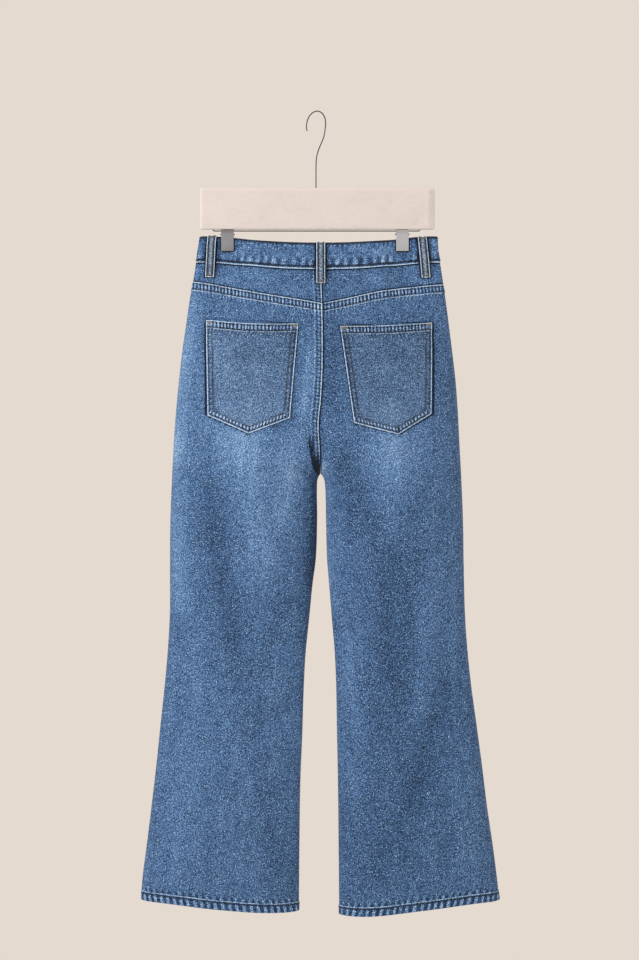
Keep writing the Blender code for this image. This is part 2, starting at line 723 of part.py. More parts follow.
def band_shares(side, face):
    """Shares across half the waist, with close ones beside the clip."""
    beside = [share_at(side, face, BAND_LEVEL, CLIP_X[side] + k * (CLIP_WIDE / 2 + 1.5))
              for k in (-1, 1)]
    even = [s for s in spread(9) if min(abs(s - b) for b in beside) > 0.035]
    return sorted(even + beside)


def band_stations():
    """(side, face, share, lift) round the waist, from the lower to the upper end of the lap."""
    run = run_length(LEFT, FRONT, BAND_LEVEL)
    raised = BAND_WALL + SEAM_GAP
    under = [(LEFT, FRONT, BAND_UNDER / run * u, 0.0) for u in (1.0, 0.5)]
    right_front = [(RIGHT, FRONT, s, 0.0) for s in band_shares(RIGHT, FRONT)]
    right_back = [(RIGHT, BACK, s, 0.0) for s in band_shares(RIGHT, BACK)[::-1]]
    left_back = [(LEFT, BACK, s, 0.0) for s in band_shares(LEFT, BACK)[1:]]
    past = (BAND_UNDER + BAND_RAMP) / run
    left_front = [(LEFT, FRONT, s, 0.0) for s in band_shares(LEFT, FRONT)[::-1]
                  if s > past + 0.04]
    ramp = [(LEFT, FRONT, (BAND_UNDER + 2 + (BAND_RAMP - 2) * u) / run,
             raised * float(ease(1 - u))) for u in (1.0, 0.7, 0.35, 0.0)]
    over = [(LEFT, FRONT, BAND_UNDER / run * u, raised) for u in (0.6, 0.2)]
    over += [(RIGHT, FRONT, BAND_OVER / run * u, raised) for u in (0.3, 1.0)]
    return under + right_front + right_back + left_back + left_front + ramp + over


def waistband():
    rows = 3
    outer, inner = [], []
    for i in range(rows + 1):
        line_out, line_in = [], []
        for side, face, share, lift in band_stations():
            drop = mix(waist_drop(side, face, share, "top"),
                       waist_drop(side, face, share, "seam") - HALF_GAP, i / rows)
            line_out.append(surface_point(side, face, drop, share, lift + BAND_PROUD))
            line_in.append(surface_point(side, face, drop, share,
                                         lift + BAND_PROUD - BAND_WALL))
        outer.append(line_out)
        inner.append(line_in)
    return wall("waistband", outer, inner, "denim")


def waist_button():
    y = -surface_depth(FRONT, 0.0, BUTTON_DROP) - BAND_PROUD - BAND_WALL - SEAM_GAP - LAY_GAP
    profile = [(0.0, 3.2), (-0.9, 3.2), (-1.0, 7.6), (-1.6, BUTTON_RADIUS),
               (-2.4, BUTTON_RADIUS), (-3.0, 7.4), (-2.6, 6.2), (-2.7, 2.6), (-BUTTON_DEEP, 1.6)]
    centre = (CENTRE_X, y, -BUTTON_DROP)
    return turned("waist_button", profile, centre, "Y", "button_metal")


def surface_depth(face, distance, drop):
    """How far the cloth stands out at a distance from the centre, on the left."""
    share = share_at(LEFT, face, drop, centre_x(face, drop) + distance)
    return abs(surface_point(LEFT, face, drop, share)[1])


def back_pocket(patch):
    """A five cornered patch with a hemmed mouth."""
    point_u = (patch.point_x - patch.low_in_x) / (patch.low_out_x - patch.low_in_x)
    across = sorted({0.0, 0.03, 0.12, 0.24, 0.36, point_u, 0.62, 0.76, 0.88, 0.97, 1.0})
    tall = patch.low_in_drop - patch.in_drop
    down = [0.0, MOUTH_HEM / tall, (MOUTH_HEM + 1) / tall, 0.22, 0.36, 0.5, 0.64, 0.78, 0.9, 1.0]
    outer, inner = [], []
    for i, v in enumerate(down):
        line_out, line_in = [], []
        for u in across:
            top = mix(patch.in_drop, patch.out_drop, u) + patch.sag * math.sin(math.pi * u)
            if u <= point_u:
                low = mix(patch.low_in_drop, patch.point_drop, u / point_u)
            else:
                low = mix(patch.point_drop, patch.low_out_drop, (u - point_u) / (1 - point_u))
            drop = mix(top, low, v)
            x = mix(mix(patch.in_x, patch.low_in_x, v), mix(patch.out_x, patch.low_out_x, v), u)
            share = share_at(patch.side, BACK, drop, x)
            rise = MOUTH_RISE if i < 2 else 0.0
            line_out.append(surface_point(patch.side, BACK, drop, share,
                                          LAY_GAP + PATCH_WALL + rise))
            line_in.append(surface_point(patch.side, BACK, drop, share, LAY_GAP))
        outer.append(line_out)
        inner.append(line_in)
    return wall(f"back_pocket_{NAMES[patch.side]}", outer, inner, "pale_denim")


def belt_loop(loop):
    """A narrow strip that stands off the waistband and lies down at both ends."""
    shares = [row.share for row in LOOP_RISE]
    steps = sorted(set(shares) | {0.22, 0.42, 0.65, 0.81, 0.94})
    outer, inner = [], []
    for v in steps:
        drop = mix(loop.top_drop, loop.foot_drop, v)
        middle = mix(loop.top_x, loop.foot_x, v)
        rise = float(read_table(LOOP_RISE, "rise", v))
        depth = max(loop_base(loop.face, middle + k * LOOP_WIDTH / 2, drop) for k in (-1, 0, 1))
        line_out, line_in = [], []
        for k in (-1, 1):
            x = middle + k * LOOP_WIDTH / 2
            line_in.append((x, loop.face * (depth + rise), -drop))
            line_out.append((x, loop.face * (depth + rise + LOOP_WALL), -drop))
        outer.append(line_out)
        inner.append(line_in)
    return wall(loop.name, outer, inner, "denim")


def loop_base(face, x, drop):
    side = LEFT if x >= centre_x(face, drop) else RIGHT
    share = share_at(side, face, drop, x)
    on_fell = face == BACK and abs(x - centre_x(face, drop)) < FELL_WIDTH
    return abs(surface_point(side, face, drop, share)[1]) + (FELL_RISE if on_fell else 0.0)


# ---------------------------------------------------------------- the hanger
def on_hook(out, height):
    """A place in the hook's own plane."""
    return (out * math.cos(HOOK_TURN), out * math.sin(HOOK_TURN), height)


def smooth_path(points, steps=3):
    """Extra points on a smooth curve through the given ones."""
    p = np.array(points, dtype=float)
    p = np.vstack([2 * p[0] - p[1], p, 2 * p[-1] - p[-2]])
    path = []
    for i in range(1, len(p) - 2):
        for u in np.arange(steps) / steps:
            path.append(0.5 * (2 * p[i] + (p[i + 1] - p[i - 1]) * u
                               + (2 * p[i - 1] - 5 * p[i] + 4 * p[i + 1] - p[i + 2]) * u ** 2
                               + (3 * p[i] - p[i - 1] - 3 * p[i + 1] + p[i + 2]) * u ** 3))
    path.append(p[-2])
    return [tuple(point) for point in path]


def hanger_hook():
    centre_height = WIRE - HOOK_RADIUS
    shank = smooth_path([on_hook(s.out, -s.drop) for s in SHANK], 2)
    turns = np.linspace(0, HOOK_TIP, 24)
    bend = [on_hook(HOOK_RADIUS * math.cos(a), centre_height + HOOK_RADIUS * math.sin(a))
            for a in turns]
    return tube("hanger_hook", shank + bend, WIRE, "steel")


def hanger_rail():
    """A straight wire whose ends turn up to the cover."""
    ends = []
    for k in (1, -1):
        corner = [(RAIL_MIDDLE + k * (RAIL_END - RAIL_BEND * (1 - math.cos(a))), 0.0,
                   -RAIL_DROP + RAIL_BEND * (1 - math.sin(a)))
                  for a in np.linspace(0, math.pi / 2, 5)]
        ends.append(corner)
    middle = [(RAIL_MIDDLE + x, 0.0, -RAIL_DROP) for x in (120, 80, 40, 0, -40, -80, -120)]
    return tube("hanger_rail", ends[0] + middle + ends[1][::-1], WIRE, "steel")


def hanger_cover():
    """A flat padded sleeve with rounded edges and slightly full sides."""
    bm = bmesh.new()
    wide, tall = COVER_LEFT - COVER_RIGHT, COVER_BOTTOM - COVER_TOP
    rings = []
    across = [-1.0] + list(np.linspace(-0.98, 0.98, 13)) + [1.0]
    for s in across:
        thin = COVER_DEEP / 2 * (1.0 if abs(s) < 1 else 0.55)
        high = tall / 2 - (0.0 if abs(s) < 1 else COVER_CORNER)
        ring = []
        for k in range(16):
            a = 2 * math.pi * (k + 0.5) / 16
            c, d = math.cos(a), math.sin(a)
            y = thin * math.copysign(abs(c) ** 0.45, c)
            z = high * math.copysign(abs(d) ** 0.28, d)
            ring.append(bm.verts.new(((COVER_LEFT + COVER_RIGHT + s * wide) / 2 * MM, y * MM,
                                      (z - (COVER_TOP + COVER_BOTTOM) / 2) * MM)))
        rings.append(ring)
    for a, b in zip(rings, rings[1:]):
        for k in range(16):
            m = (k + 1) % 16
            bm.faces.new((a[k], a[m], b[m], b[k]))
    bm.faces.new(rings[0])
    bm.faces.new(rings[-1])
    return add_object("hanger_cover", bm, "cover_cloth")


def jaw(side, face):
    """A pressed steel plate, leaning over the rail, with two ears for the pin."""
    x = CLIP_X[side]
    grip = CLIP_GRIP
    line = [(2.3, CLIP_TOP), (grip + 0.3, CLIP_TOP + 5.4), (grip, CLIP_TOP + 9.0),
            (grip, CLIP_BOTTOM - 5.0), (grip + 1.2, CLIP_BOTTOM)]
    back = [(y + CLIP_WALL, drop) for y, drop in line[::-1]]
    profile = [(face * y, drop) for y, drop in line + back]
    half = CLIP_WIDE / 2
    which = "back" if face == BACK else "front"
    name = f"clip_{NAMES[side]}_{which}_jaw"
    plate = prism(name, profile, x - half, x + half, "clip_steel")
    inset = 0.0 if face == BACK else EAR_WALL + SEAM_GAP
    for k in (-1, 1):
        outer = x + k * (half - inset)
        ear_profile = [(-face * EAR_PAST, EAR_TOP), (face * (grip + 0.6), EAR_TOP),
                       (face * (grip + 0.6), EAR_FOOT), (-face * EAR_PAST, EAR_FOOT)]
        low, high = sorted((outer, outer - k * EAR_WALL))
        ear = prism(f"guide_ear_{name}_{k + 1}", ear_profile, low, high, "clip_steel")
        combine(plate, ear, "UNION")
    hole = turned(f"guide_hole_{name}", [(-14, PIN_RADIUS + 0.3), (14, PIN_RADIUS + 0.3)],
                  (x, 0.0, -PIN_DROP), "X", "clip_steel", sides=12)
    combine(plate, hole, "DIFFERENCE")
    return plate


def clip_pin(side):
    """The pin with the spring's barrel round its middle."""
    half = PIN_LONG / 2
    profile = [(-half, PIN_RADIUS), (-4.6, PIN_RADIUS), (-4.6, 2.1), (4.6, 2.1),
               (4.6, PIN_RADIUS), (half, PIN_RADIUS)]
    return turned(f"clip_{NAMES[side]}_pin", profile, (CLIP_X[side], 0.0, -PIN_DROP), "X",
                  "steel", sides=12)


# ---------------------------------------------------------------- the whole
def clear_scene():
    for ob in list(bpy.data.objects):
        bpy.data.objects.remove(ob, do_unlink=True)


def make_jeans():
    waistband()
    waist_button()
    fly()
    for side in (LEFT, RIGHT):
        yoke(side)
        back_panel(side)
        front_panel(side)
        pocket_facing(side)
    for patch in BACK_POCKETS:
        back_pocket(patch)
    for loop in BELT_LOOPS:
        belt_loop(loop)


def make_hanger():
    hanger_hook()
    hanger_cover()
    hanger_rail()
    for side in (LEFT, RIGHT):
        for face in (BACK, FRONT):
            jaw(side, face)
        clip_pin(side)


def main():
    clear_scene()
    make_jeans()
    make_hanger()


main()
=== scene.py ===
"""Looks of the bootcut jeans on their clip hanger: fine cloth shells, sewing, hanger and stage.

Sizes are in millimetres and are turned into metres when a mesh is made. The frame has +Z up with
its origin in the hook's seat. The fly faces -Y, the back pockets face +Y, +X is the wearer's left,
and a drop is a distance below the hook's seat. Every cloth piece is made from the same sections
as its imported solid, on a much closer grid, so it lies where that solid lies.
"""

import math
from collections import namedtuple
from functools import lru_cache

import bmesh
import bpy
import numpy as np
from bpy.props import FloatProperty, FloatVectorProperty, PointerProperty
from mathutils import Matrix, Vector
from mathutils.bvhtree import BVHTree


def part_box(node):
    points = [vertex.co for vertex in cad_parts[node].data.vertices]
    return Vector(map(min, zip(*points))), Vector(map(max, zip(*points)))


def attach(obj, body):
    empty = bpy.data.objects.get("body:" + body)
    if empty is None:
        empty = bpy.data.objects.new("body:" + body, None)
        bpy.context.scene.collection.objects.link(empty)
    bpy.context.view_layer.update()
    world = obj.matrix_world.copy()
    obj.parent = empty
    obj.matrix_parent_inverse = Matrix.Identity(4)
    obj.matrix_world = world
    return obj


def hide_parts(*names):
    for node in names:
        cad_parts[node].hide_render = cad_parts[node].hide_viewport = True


bl_info = {
    "name": "Bootcut Jeans on a Clip Hanger",
    "version": (1, 0, 0),
    "blender": (4, 5, 0),
    "location": "View3D > Sidebar > Jeans",
    "description": "Makes the cloth, sewing, hanger and stage of a pair of hanging jeans",
    "category": "Object",
}

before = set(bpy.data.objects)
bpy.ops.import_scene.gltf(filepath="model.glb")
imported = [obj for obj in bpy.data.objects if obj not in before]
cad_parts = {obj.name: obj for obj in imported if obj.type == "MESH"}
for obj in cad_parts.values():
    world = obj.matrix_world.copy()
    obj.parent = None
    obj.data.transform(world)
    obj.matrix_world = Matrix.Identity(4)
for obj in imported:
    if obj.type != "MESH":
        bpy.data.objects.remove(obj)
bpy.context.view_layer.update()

MM = 0.001
SEAM_GAP = 0.3
HALF_GAP = SEAM_GAP / 2
LAY_GAP = 0.5
LEFT, RIGHT = 1, -1
BACK, FRONT = 1, -1
NAMES = {LEFT: "left", RIGHT: "right"}


def table(columns, *rows):
    """Rows of numbers whose columns have names."""
    row = namedtuple("Row", columns)
    return [row(*values) for values in rows]


# ---------------------------------------------------------------- sizes shared with the solids
DENIM, BAND_WALL, BAND_PROUD, PATCH_WALL = 1.3, 3.0, 0.9, 1.4
FELL_WIDTH, FELL_RISE = 13.0, 0.8
HEM_DEPTH, HEM_RISE = 13.5, 0.7
FACING_GAP, FACING_WALL = 0.95, 1.0
CENTRE_X, CROTCH_DROP = -6.75, 542.0
BACK_CLEFT_START, FRONT_CLEFT_START = 395.0, 430.0
LENS_POWER = 1.15

OUTLINE = table(
    "drop left right",
    (180, 172.5, -181.5), (205, 176.6, -182.6), (228, 180.2, -186.4), (255, 184.5, -190.5),
    (285, 190.0, -194.8), (320, 195.0, -199.4), (360, 200.8, -204.4), (400, 205.3, -209.0),
    (440, 209.2, -212.2), (490, 213.0, -214.8), (550, 216.0, -218.0), (610, 218.4, -220.4),
    (680, 219.0, -221.6), (750, 219.2, -223.4), (800, 221.8, -226.6), (860, 227.0, -232.8),
    (920, 233.4, -241.0), (980, 239.6, -249.0), (1040, 246.6, -256.4), (1100, 254.0, -265.2),
    (1150, 260.4, -271.6), (1185, 262.4, -275.4), (1230, 263.5, -277.5),
)
INSEAM = table(
    "drop left right",
    (542, -6.6, -6.9), (546, -4.0, -10.2), (551, -2.2, -12.4), (560, -1.6, -13.6),
    (612, -1.8, -15.0), (672, 0.4, -16.6), (705, 4.8, -19.4), (760, 10.3, -23.8),
    (810, 15.4, -28.0), (860, 18.2, -30.2), (930, 20.4, -31.4), (1000, 23.3, -32.8),
    (1090, 24.7, -33.8), (1185, 25.5, -34.6), (1230, 26.0, -35.0),
)
DEPTH = table(
    "drop back front fold",
    (180, 6.5, 5.5, 3.4), (226, 9.0, 7.5, 3.4), (260, 15.0, 12.0, 3.8), (300, 23.0, 18.0, 5.2),
    (350, 32.0, 24.0, 7.2), (400, 37.5, 27.0, 9.0), (450, 38.5, 27.5, 10.0),
    (500, 37.0, 26.5, 10.5), (550, 34.5, 25.0, 11.0), (620, 31.0, 23.5, 11.0),
    (700, 26.5, 21.5, 10.5), (800, 22.0, 20.0, 10.0), (900, 19.5, 19.0, 10.0),
    (1050, 21.0, 20.5, 11.0), (1230, 23.5, 22.0, 12.0),
)
CENTRE_BACK = table(
    "drop x",
    (180, -6.75), (240, -7.6), (300, -9.6), (385, -9.9), (430, -7.6), (470, -4.0), (505, -5.6),
    (542, -6.75), (1230, -6.75),
)
BAND_EDGE = table(
    "distance top seam",
    (0, 196.8, 237.0), (30, 196.4, 236.5), (60, 195.2, 235.3), (105, 192.2, 231.4),
    (130, 189.0, 229.1), (157, 187.0, 226.8), (190, 186.5, 226.0),
)
WAIST_LEVELS = {"top": 192.0, "seam": 233.0}
FRONT_DIP = 8.0
YOKE_SEAM = table(
    "distance left right",
    (0, 288.6, 288.6), (30, 282.9, 282.5), (60, 278.0, 275.6), (90, 272.7, 269.0),
    (120, 266.9, 264.8), (150, 261.3, 261.8), (175, 256.9, 259.2), (200, 253.4, 257.0),
)
HEM_EDGE = table(
    "share left right",
    (0.0, 1196.5, 1201.8), (0.2, 1195.8, 1201.2), (0.5, 1189.6, 1191.4), (0.8, 1181.8, 1182.4),
    (1.0, 1179.5, 1180.2),
)
# Folds run from one place to another, and the rise is the height at their middle.
FOLD = "x1 drop1 x2 drop2 width rise"
FOLDS = {
    (LEFT, BACK): table(
        FOLD,
        (146, 262, 168, 322, 13, -1.6), (158, 560, 118, 800, 17, -3.2),
        (196, 480, 192, 720, 16, 2.2), (100, 500, 84, 660, 22, 2.6), (72, 735, 20, 742, 15, -2.6),
        (30, 875, 96, 930, 14, -2.4), (176, 980, 204, 1120, 20, 2.4),
        (72, 1010, 60, 1130, 20, -2.4),
    ),
    (RIGHT, BACK): table(
        FOLD,
        (-146, 262, -172, 330, 13, -1.6), (-58, 540, -104, 650, 16, -3.0),
        (-112, 500, -116, 620, 22, 2.6), (-104, 690, -112, 850, 20, -2.6),
        (-164, 735, -156, 890, 15, 2.8), (-196, 860, -150, 1010, 15, -3.0),
        (-158, 1010, -92, 1130, 17, -2.4), (-216, 1000, -226, 1110, 18, 2.4),
    ),
    (LEFT, FRONT): table(
        FOLD,
        (40, 520, 120, 470, 16, -2.4), (110, 560, 126, 700, 20, 2.4),
        (60, 780, 150, 760, 15, -2.4), (120, 900, 170, 1060, 18, -2.2),
    ),
    (RIGHT, FRONT): table(
        FOLD,
        (-54, 520, -136, 474, 16, -2.4), (-120, 570, -128, 720, 20, 2.4),
        (-70, 770, -160, 792, 15, -2.4), (-110, 930, -170, 1080, 18, -2.2),
    ),
}
FOLD_EDGE = 26.0
BACK_POCKETS = table(
    "side in_x in_drop out_x out_drop low_in_x low_in_drop low_out_x low_out_drop point_x "
    "point_drop sag",
    (LEFT, 25.9, 319.4, 163.9, 312.8, 38.3, 460.2, 160.2, 456.0, 98.9, 483.1, 3.0),
    (RIGHT, -35.7, 323.2, -173.1, 316.8, -56.2, 467.5, -171.0, 453.6, -121.3, 484.5, 2.0),
)
MOUTH_HEM, MOUTH_RISE = 12.0, 0.6
BELT_LOOPS = table(
    "name face top_x top_drop foot_x foot_drop",
    ("belt_loop_back_left", BACK, 155.6, 185.6, 159.4, 248.4),
    ("belt_loop_back_centre", BACK, -7.2, 196.0, -7.2, 258.6),
    ("belt_loop_back_right", BACK, -158.6, 187.2, -164.6, 249.2),
    ("belt_loop_front_left", FRONT, 80.0, 199.0, 82.0, 262.0),
    ("belt_loop_front_right", FRONT, -93.5, 199.0, -95.5, 262.0),
)
LOOP_WIDTH, LOOP_WALL = 13.0, 1.8
LOOP_RISE = table(
    "share rise",
    (0.0, 1.9), (0.05, 2.9), (0.14, 5.4), (0.3, 6.1), (0.55, 6.0), (0.74, 4.2), (0.88, 1.2),
    (1.0, 0.7),
)
MOUTH_SHARE, MOUTH_SIDE_DROP, FACING_LAP = 0.6, 298.0, 20.0
FLY_LAP, FLY_WIDTH, FLY_DROP, FLY_TURN, FLY_WALL = 5.0, 38.0, 392.0, 46.0, 1.2
BAND_OVER, BAND_UNDER, BAND_RAMP, BAND_LEVEL = 14.0, 28.0, 34.0, 208.0
WIRE, HOOK_RADIUS = 1.3, 20.3
HOOK_TURN, HOOK_TIP = math.radians(135), math.radians(199)
SHANK = table(
    "out drop",
    (0.0, 113.4), (0.0, 98.0), (0.0, 84.0), (0.4, 73.0), (2.4, 64.0), (6.4, 55.5), (11.6, 47.5),
    (15.9, 40.0), (18.6, 32.0), (20.0, 24.0),
)
COVER_LEFT, COVER_RIGHT = 174.0, -177.7
COVER_TOP, COVER_BOTTOM, COVER_DEEP = 113.75, 176.05, 12.0
RAIL_DROP, RAIL_END, RAIL_BEND, RAIL_MIDDLE = 178.3, 154.8, 1.9, -0.8
CLIP_X = {LEFT: 132.7, RIGHT: -129.4}
CLIP_WIDE, PIN_DROP, CLIP_FOOT = 18.8, 183.4, 209.0
PINCH_WIDE, PINCH_DEEP, PINCH_FADE = 25.0, 222.0, 90.0

# ---------------------------------------------------------------- finer form, only in this scene
# Narrower creases than the solids have.
CREASES = {
    (LEFT, BACK): table(
        FOLD,
        (182, 330, 196, 440, 7, 0.8), (28, 500, 62, 470, 7, -0.9), (18, 560, 58, 520, 9, 1.0),
        (120, 640, 60, 700, 9, -0.8), (150, 860, 120, 960, 9, 0.9), (206, 800, 214, 900, 8, 0.8),
    ),
    (RIGHT, BACK): table(
        FOLD,
        (-42, 505, -72, 478, 7, -0.9), (-30, 570, -66, 540, 9, 0.9),
        (-150, 600, -160, 700, 9, -0.9), (-60, 700, -52, 860, 10, 0.9),
        (-200, 700, -204, 830, 8, 0.8), (-96, 905, -130, 980, 9, -0.8),
    ),
    (LEFT, FRONT): table(
        FOLD,
        (20, 470, 90, 440, 7, -0.9), (26, 500, 110, 500, 7, 0.8), (70, 820, 140, 806, 8, -0.9),
        (196, 640, 204, 800, 9, 0.8),
    ),
    (RIGHT, FRONT): table(
        FOLD,
        (-34, 474, -104, 446, 7, -0.9), (-40, 504, -122, 508, 7, 0.8),
        (-84, 812, -160, 826, 8, -0.9), (-200, 650, -208, 810, 9, 0.8),
    ),
}
# Broad pale and dark patches: faded wash with painted light and shade, given as half widths along
# X and down, and how far they lean.
FADE_AND_SHADE = "x drop wide tall lean tone"
FADE_AND_SHADE_PATCHES = {
    (LEFT, BACK): table(
        FADE_AND_SHADE,
        (108, 503, 56, 64, -0.12, 0.155), (78, 655, 32, 80, -0.12, 0.078),
        (200, 980, 40, 130, 0.15, 0.020), (40, 1090, 40, 90, -0.1, -0.03),
        (150, 360, 90, 120, 0.0, 0.045),
    ),
    (RIGHT, BACK): table(
        FADE_AND_SHADE,
        (-114, 506, 48, 60, 0.05, 0.142), (-128, 760, 30, 150, 0.0, -0.06),
        (-160, 960, 120, 330, 0.0, -0.054), (-186, 740, 40, 130, 0.0, 0.035),
        (-62, 560, 18, 60, -0.3, -0.05), (-226, 1010, 22, 120, -0.15, 0.018),
        (-76, 1090, 44, 90, 0.0, -0.03),
    ),
    (LEFT, FRONT): table(
        FADE_AND_SHADE,
        (104, 560, 54, 170, 0.1, 0.15), (108, 830, 46, 80, 0.1, 0.07),
    ),
    (RIGHT, FRONT): table(
        FADE_AND_SHADE,
        (-118, 560, 54, 170, -0.1, 0.15), (-122, 830, 46, 80, -0.1, 0.07),
    ),
}
# Painted strokes of light and shade along seams and folds: here the rise is a tone.
STROKES = {
    (LEFT, BACK): table(
        FOLD,
        (-1, 566, 3, 690, 15, -0.42), (6, 700, 18, 790, 12, -0.13), (190, 300, 206, 500, 17, 0.12),
        (206, 500, 198, 740, 14, 0.09), (158, 490, 146, 630, 15, -0.05),
        (146, 640, 116, 850, 18, -0.045), (8, 370, 19, 445, 9, 0.14),
        (29, 500, 52, 600, 16, 0.115), (60, 470, 76, 530, 9, -0.04), (42, 720, 92, 830, 12, -0.05),
        (60, 860, 30, 940, 14, 0.04), (180, 800, 176, 900, 16, 0.04),
    ),
    (RIGHT, BACK): table(
        FOLD,
        (-15, 530, -23, 700, 6, 0.26), (-22, 545, -32, 740, 8, 0.08),
        (-44, 520, -56, 610, 12, -0.06), (-22, 330, -24, 440, 12, -0.08),
        (-164, 730, -160, 890, 13, 0.02), (-168, 940, -110, 1130, 18, -0.02),
        (-54, 800, -56, 1000, 14, 0.055),
    ),
    (LEFT, FRONT): table(
        FOLD,
        (2, 560, 3, 700, 4, -0.12), (150, 700, 130, 900, 16, -0.06), (44, 620, 40, 780, 10, -0.05),
    ),
    (RIGHT, FRONT): table(
        FOLD,
        (-15, 560, -17, 700, 4, -0.12), (-160, 700, -140, 900, 16, -0.06),
        (-58, 620, -54, 780, 10, -0.05),
    ),
}
# Where the left leg's cloth rolls over the hollow at the crotch, which is painted dark as shade.
LEG_ROLL = table(
    "drop x",
    (484, 9.0), (490, 12.4), (512, 11.0), (536, 9.5), (552, 5.0), (568, 1.5), (585, -2.0),
)
# The flat cut of each cloth piece in metres, and its area in square metres.
Cut = namedtuple("Cut", "width length area")
ROW_TOP, ROW_FOOT, ROW_STEP, SHARES = 178.0, 1232.0, 2.0, 240
BOLT_STEP = 310.0  # how far apart along the weft the panels were cut


# ---------------------------------------------------------------- what a user may change
def tint(name, description, default):
    """A colour that a user may change."""
    return FloatVectorProperty(name=name, description=description, subtype="COLOR", size=3,
                               min=0, max=1, default=default)


def amount(name, description, default, least, most):
    """A number that a user may change."""
    return FloatProperty(name=name, description=description, default=default, min=least, max=most)


def power(name, description, default):
    """The power of a lamp in watts."""
    return FloatProperty(name=name, description=description, default=default, min=0,
                         subtype="POWER")


class JeansCloth(bpy.types.PropertyGroup):
    """Sizes and colours of the denim."""

    indigo: tint("Indigo", "Colour of the unworn denim", (0.026, 0.060, 0.140))
    washed: tint("Washed", "Colour of the denim between seams", (0.057, 0.136, 0.310))
    worn: tint("Worn", "Colour where the wash has faded most", (0.131, 0.272, 0.528))
    weft: tint("Weft", "Colour of the undyed yarn on worn edges and inside", (0.56, 0.76, 0.96))
    twill: amount("Twill pitch", "Distance between twill lines in millimetres", 0.85, 0.2, 5)
    pucker: amount(
        "Pucker height", "Height of the puckers along seams in millimetres", 0.45, 0, 1.2)
    slub: amount("Slub", "Strength of light and dark flecks in the yarn", 1.0, 0, 3)


class JeansSewing(bpy.types.PropertyGroup):
    """Sizes and colours of the thread."""

    stitch: amount("Stitch", "Length of a stitch in millimetres", 2.6, 1, 8)
    gap: amount("Gap", "Distance between two stitches in millimetres", 1.4, 0.2, 4)
    radius: amount("Thread radius", "Radius of the thread in millimetres", 0.38, 0.1, 0.8)
    tonal: tint("Tonal thread", "Colour of most of the thread", (0.075, 0.085, 0.105))
    grey: tint(
        "Grey thread", "Colour of the lower row on yokes and pocket mouths",
        (0.15, 0.115, 0.09))
    dark: tint("Dark thread", "Colour of the thread on hems and loops", (0.022, 0.016, 0.018))
    tan: tint("Tan thread", "Colour of the bar tacks", (0.34, 0.21, 0.10))


class HangerLooks(bpy.types.PropertyGroup):
    """Colours of the hanger."""

    canvas: tint("Canvas", "Colour of the bar's cloth cover", (0.685, 0.637, 0.615))
    wire: tint("Wire", "Colour of the hook and rail", (0.085, 0.073, 0.068))
    clip: tint("Clip", "Colour of the pressed clips", (0.36, 0.37, 0.40))
    brass: tint("Button", "Colour of the waist button", (0.42, 0.31, 0.19))


class StageLooks(bpy.types.PropertyGroup):
    """The light and the floor."""

    room: tint("Room", "Colour of the light all round", (0.783, 0.700, 0.626))
    floor: tint("Floor", "Colour of the floor", (0.74, 0.69, 0.63))
    key: power("Key light", "Power of the large lamp on the left in watts", 46)
    fill: power("Fill light", "Power of the lamp on the right in watts", 5)
    far: power("Far light", "Power of the lamp on the fly's side in watts", 36)


# ---------------------------------------------------------------- tables, curves and noise
def read_table(rows, column, place):
    """A smooth curve through one column of a table, at places along its first column."""
    at = np.array([row[0] for row in rows], dtype=float)
    value = np.array([getattr(row, column) for row in rows], dtype=float)
    step = np.diff(value) / np.diff(at)
    slope = np.concatenate(([step[0]], (step[:-1] + step[1:]) / 2, [step[-1]]))
    place = np.clip(np.asarray(place, dtype=float), at[0], at[-1])
    low = np.clip(np.searchsorted(at, place, side="right") - 1, 0, len(at) - 2)
    span = at[low + 1] - at[low]
    u = (place - at[low]) / span
    return ((1 + 2 * u) * (1 - u) ** 2 * value[low] + u * (1 - u) ** 2 * span * slope[low]
            + u * u * (3 - 2 * u) * value[low + 1] + u * u * (u - 1) * span * slope[low + 1])


def ease(u):
    """0 to 1 with level ends."""
    u = np.clip(u, 0, 1)
    return u * u * (3 - 2 * u)


def mix(a, b, u):
    return a + (b - a) * u


def noise(u, v, seed):
    """Smooth noise from -1 to 1 with cells one unit wide."""
    u, v = np.broadcast_arrays(np.asarray(u, dtype=float), np.asarray(v, dtype=float))
    i, j = np.floor(u), np.floor(v)
    a, b = ease(u - i), ease(v - j)

    def corner(p, q):
        n = np.sin(p * 127.1 + q * 311.7 + seed * 74.7) * 43758.5453
        return 2 * (n - np.floor(n)) - 1

    return mix(mix(corner(i, j), corner(i + 1, j), a),
               mix(corner(i, j + 1), corner(i + 1, j + 1), a), b)


def bell(u):
    return np.exp(-np.square(u))


def round_off(distance, radius):
    """How far a folded edge of this radius falls away, at a distance from it."""
    u = 1 - np.clip(distance / radius, 0, 1)
    return -radius * (1 - np.sqrt(np.clip(1 - u * u, 0, 1)))


def groove(distance, place, deep=0.28, wide=0.9):
    """The furrow that a row of stitches pulls into the cloth."""
    return -deep * bell((distance - place) / wide)


class Puckers:
    """Ribs across a sewn band: their phase, their size from 0 to 1 and their height."""

    def __init__(self, along, across, first, last, pitch, skew, seed):
        a = along + skew * across
        self.wave = 2 * math.pi * a / pitch + 2.2 * noise(a / (2.7 * pitch), 0.5, seed)
        uneven = 0.72 + 0.28 * noise(a / (1.4 * pitch), 7.5, seed + 3)
        middle, half = (first + last) / 2, (last - first) / 2
        self.size = uneven * np.exp(-np.abs((across - middle) / (1.1 * half)) ** 6)
        self.height = (0.5 + 0.5 * np.cos(self.wave)) * self.size


FAR = 20.0  # a distance at which no edge shows any more


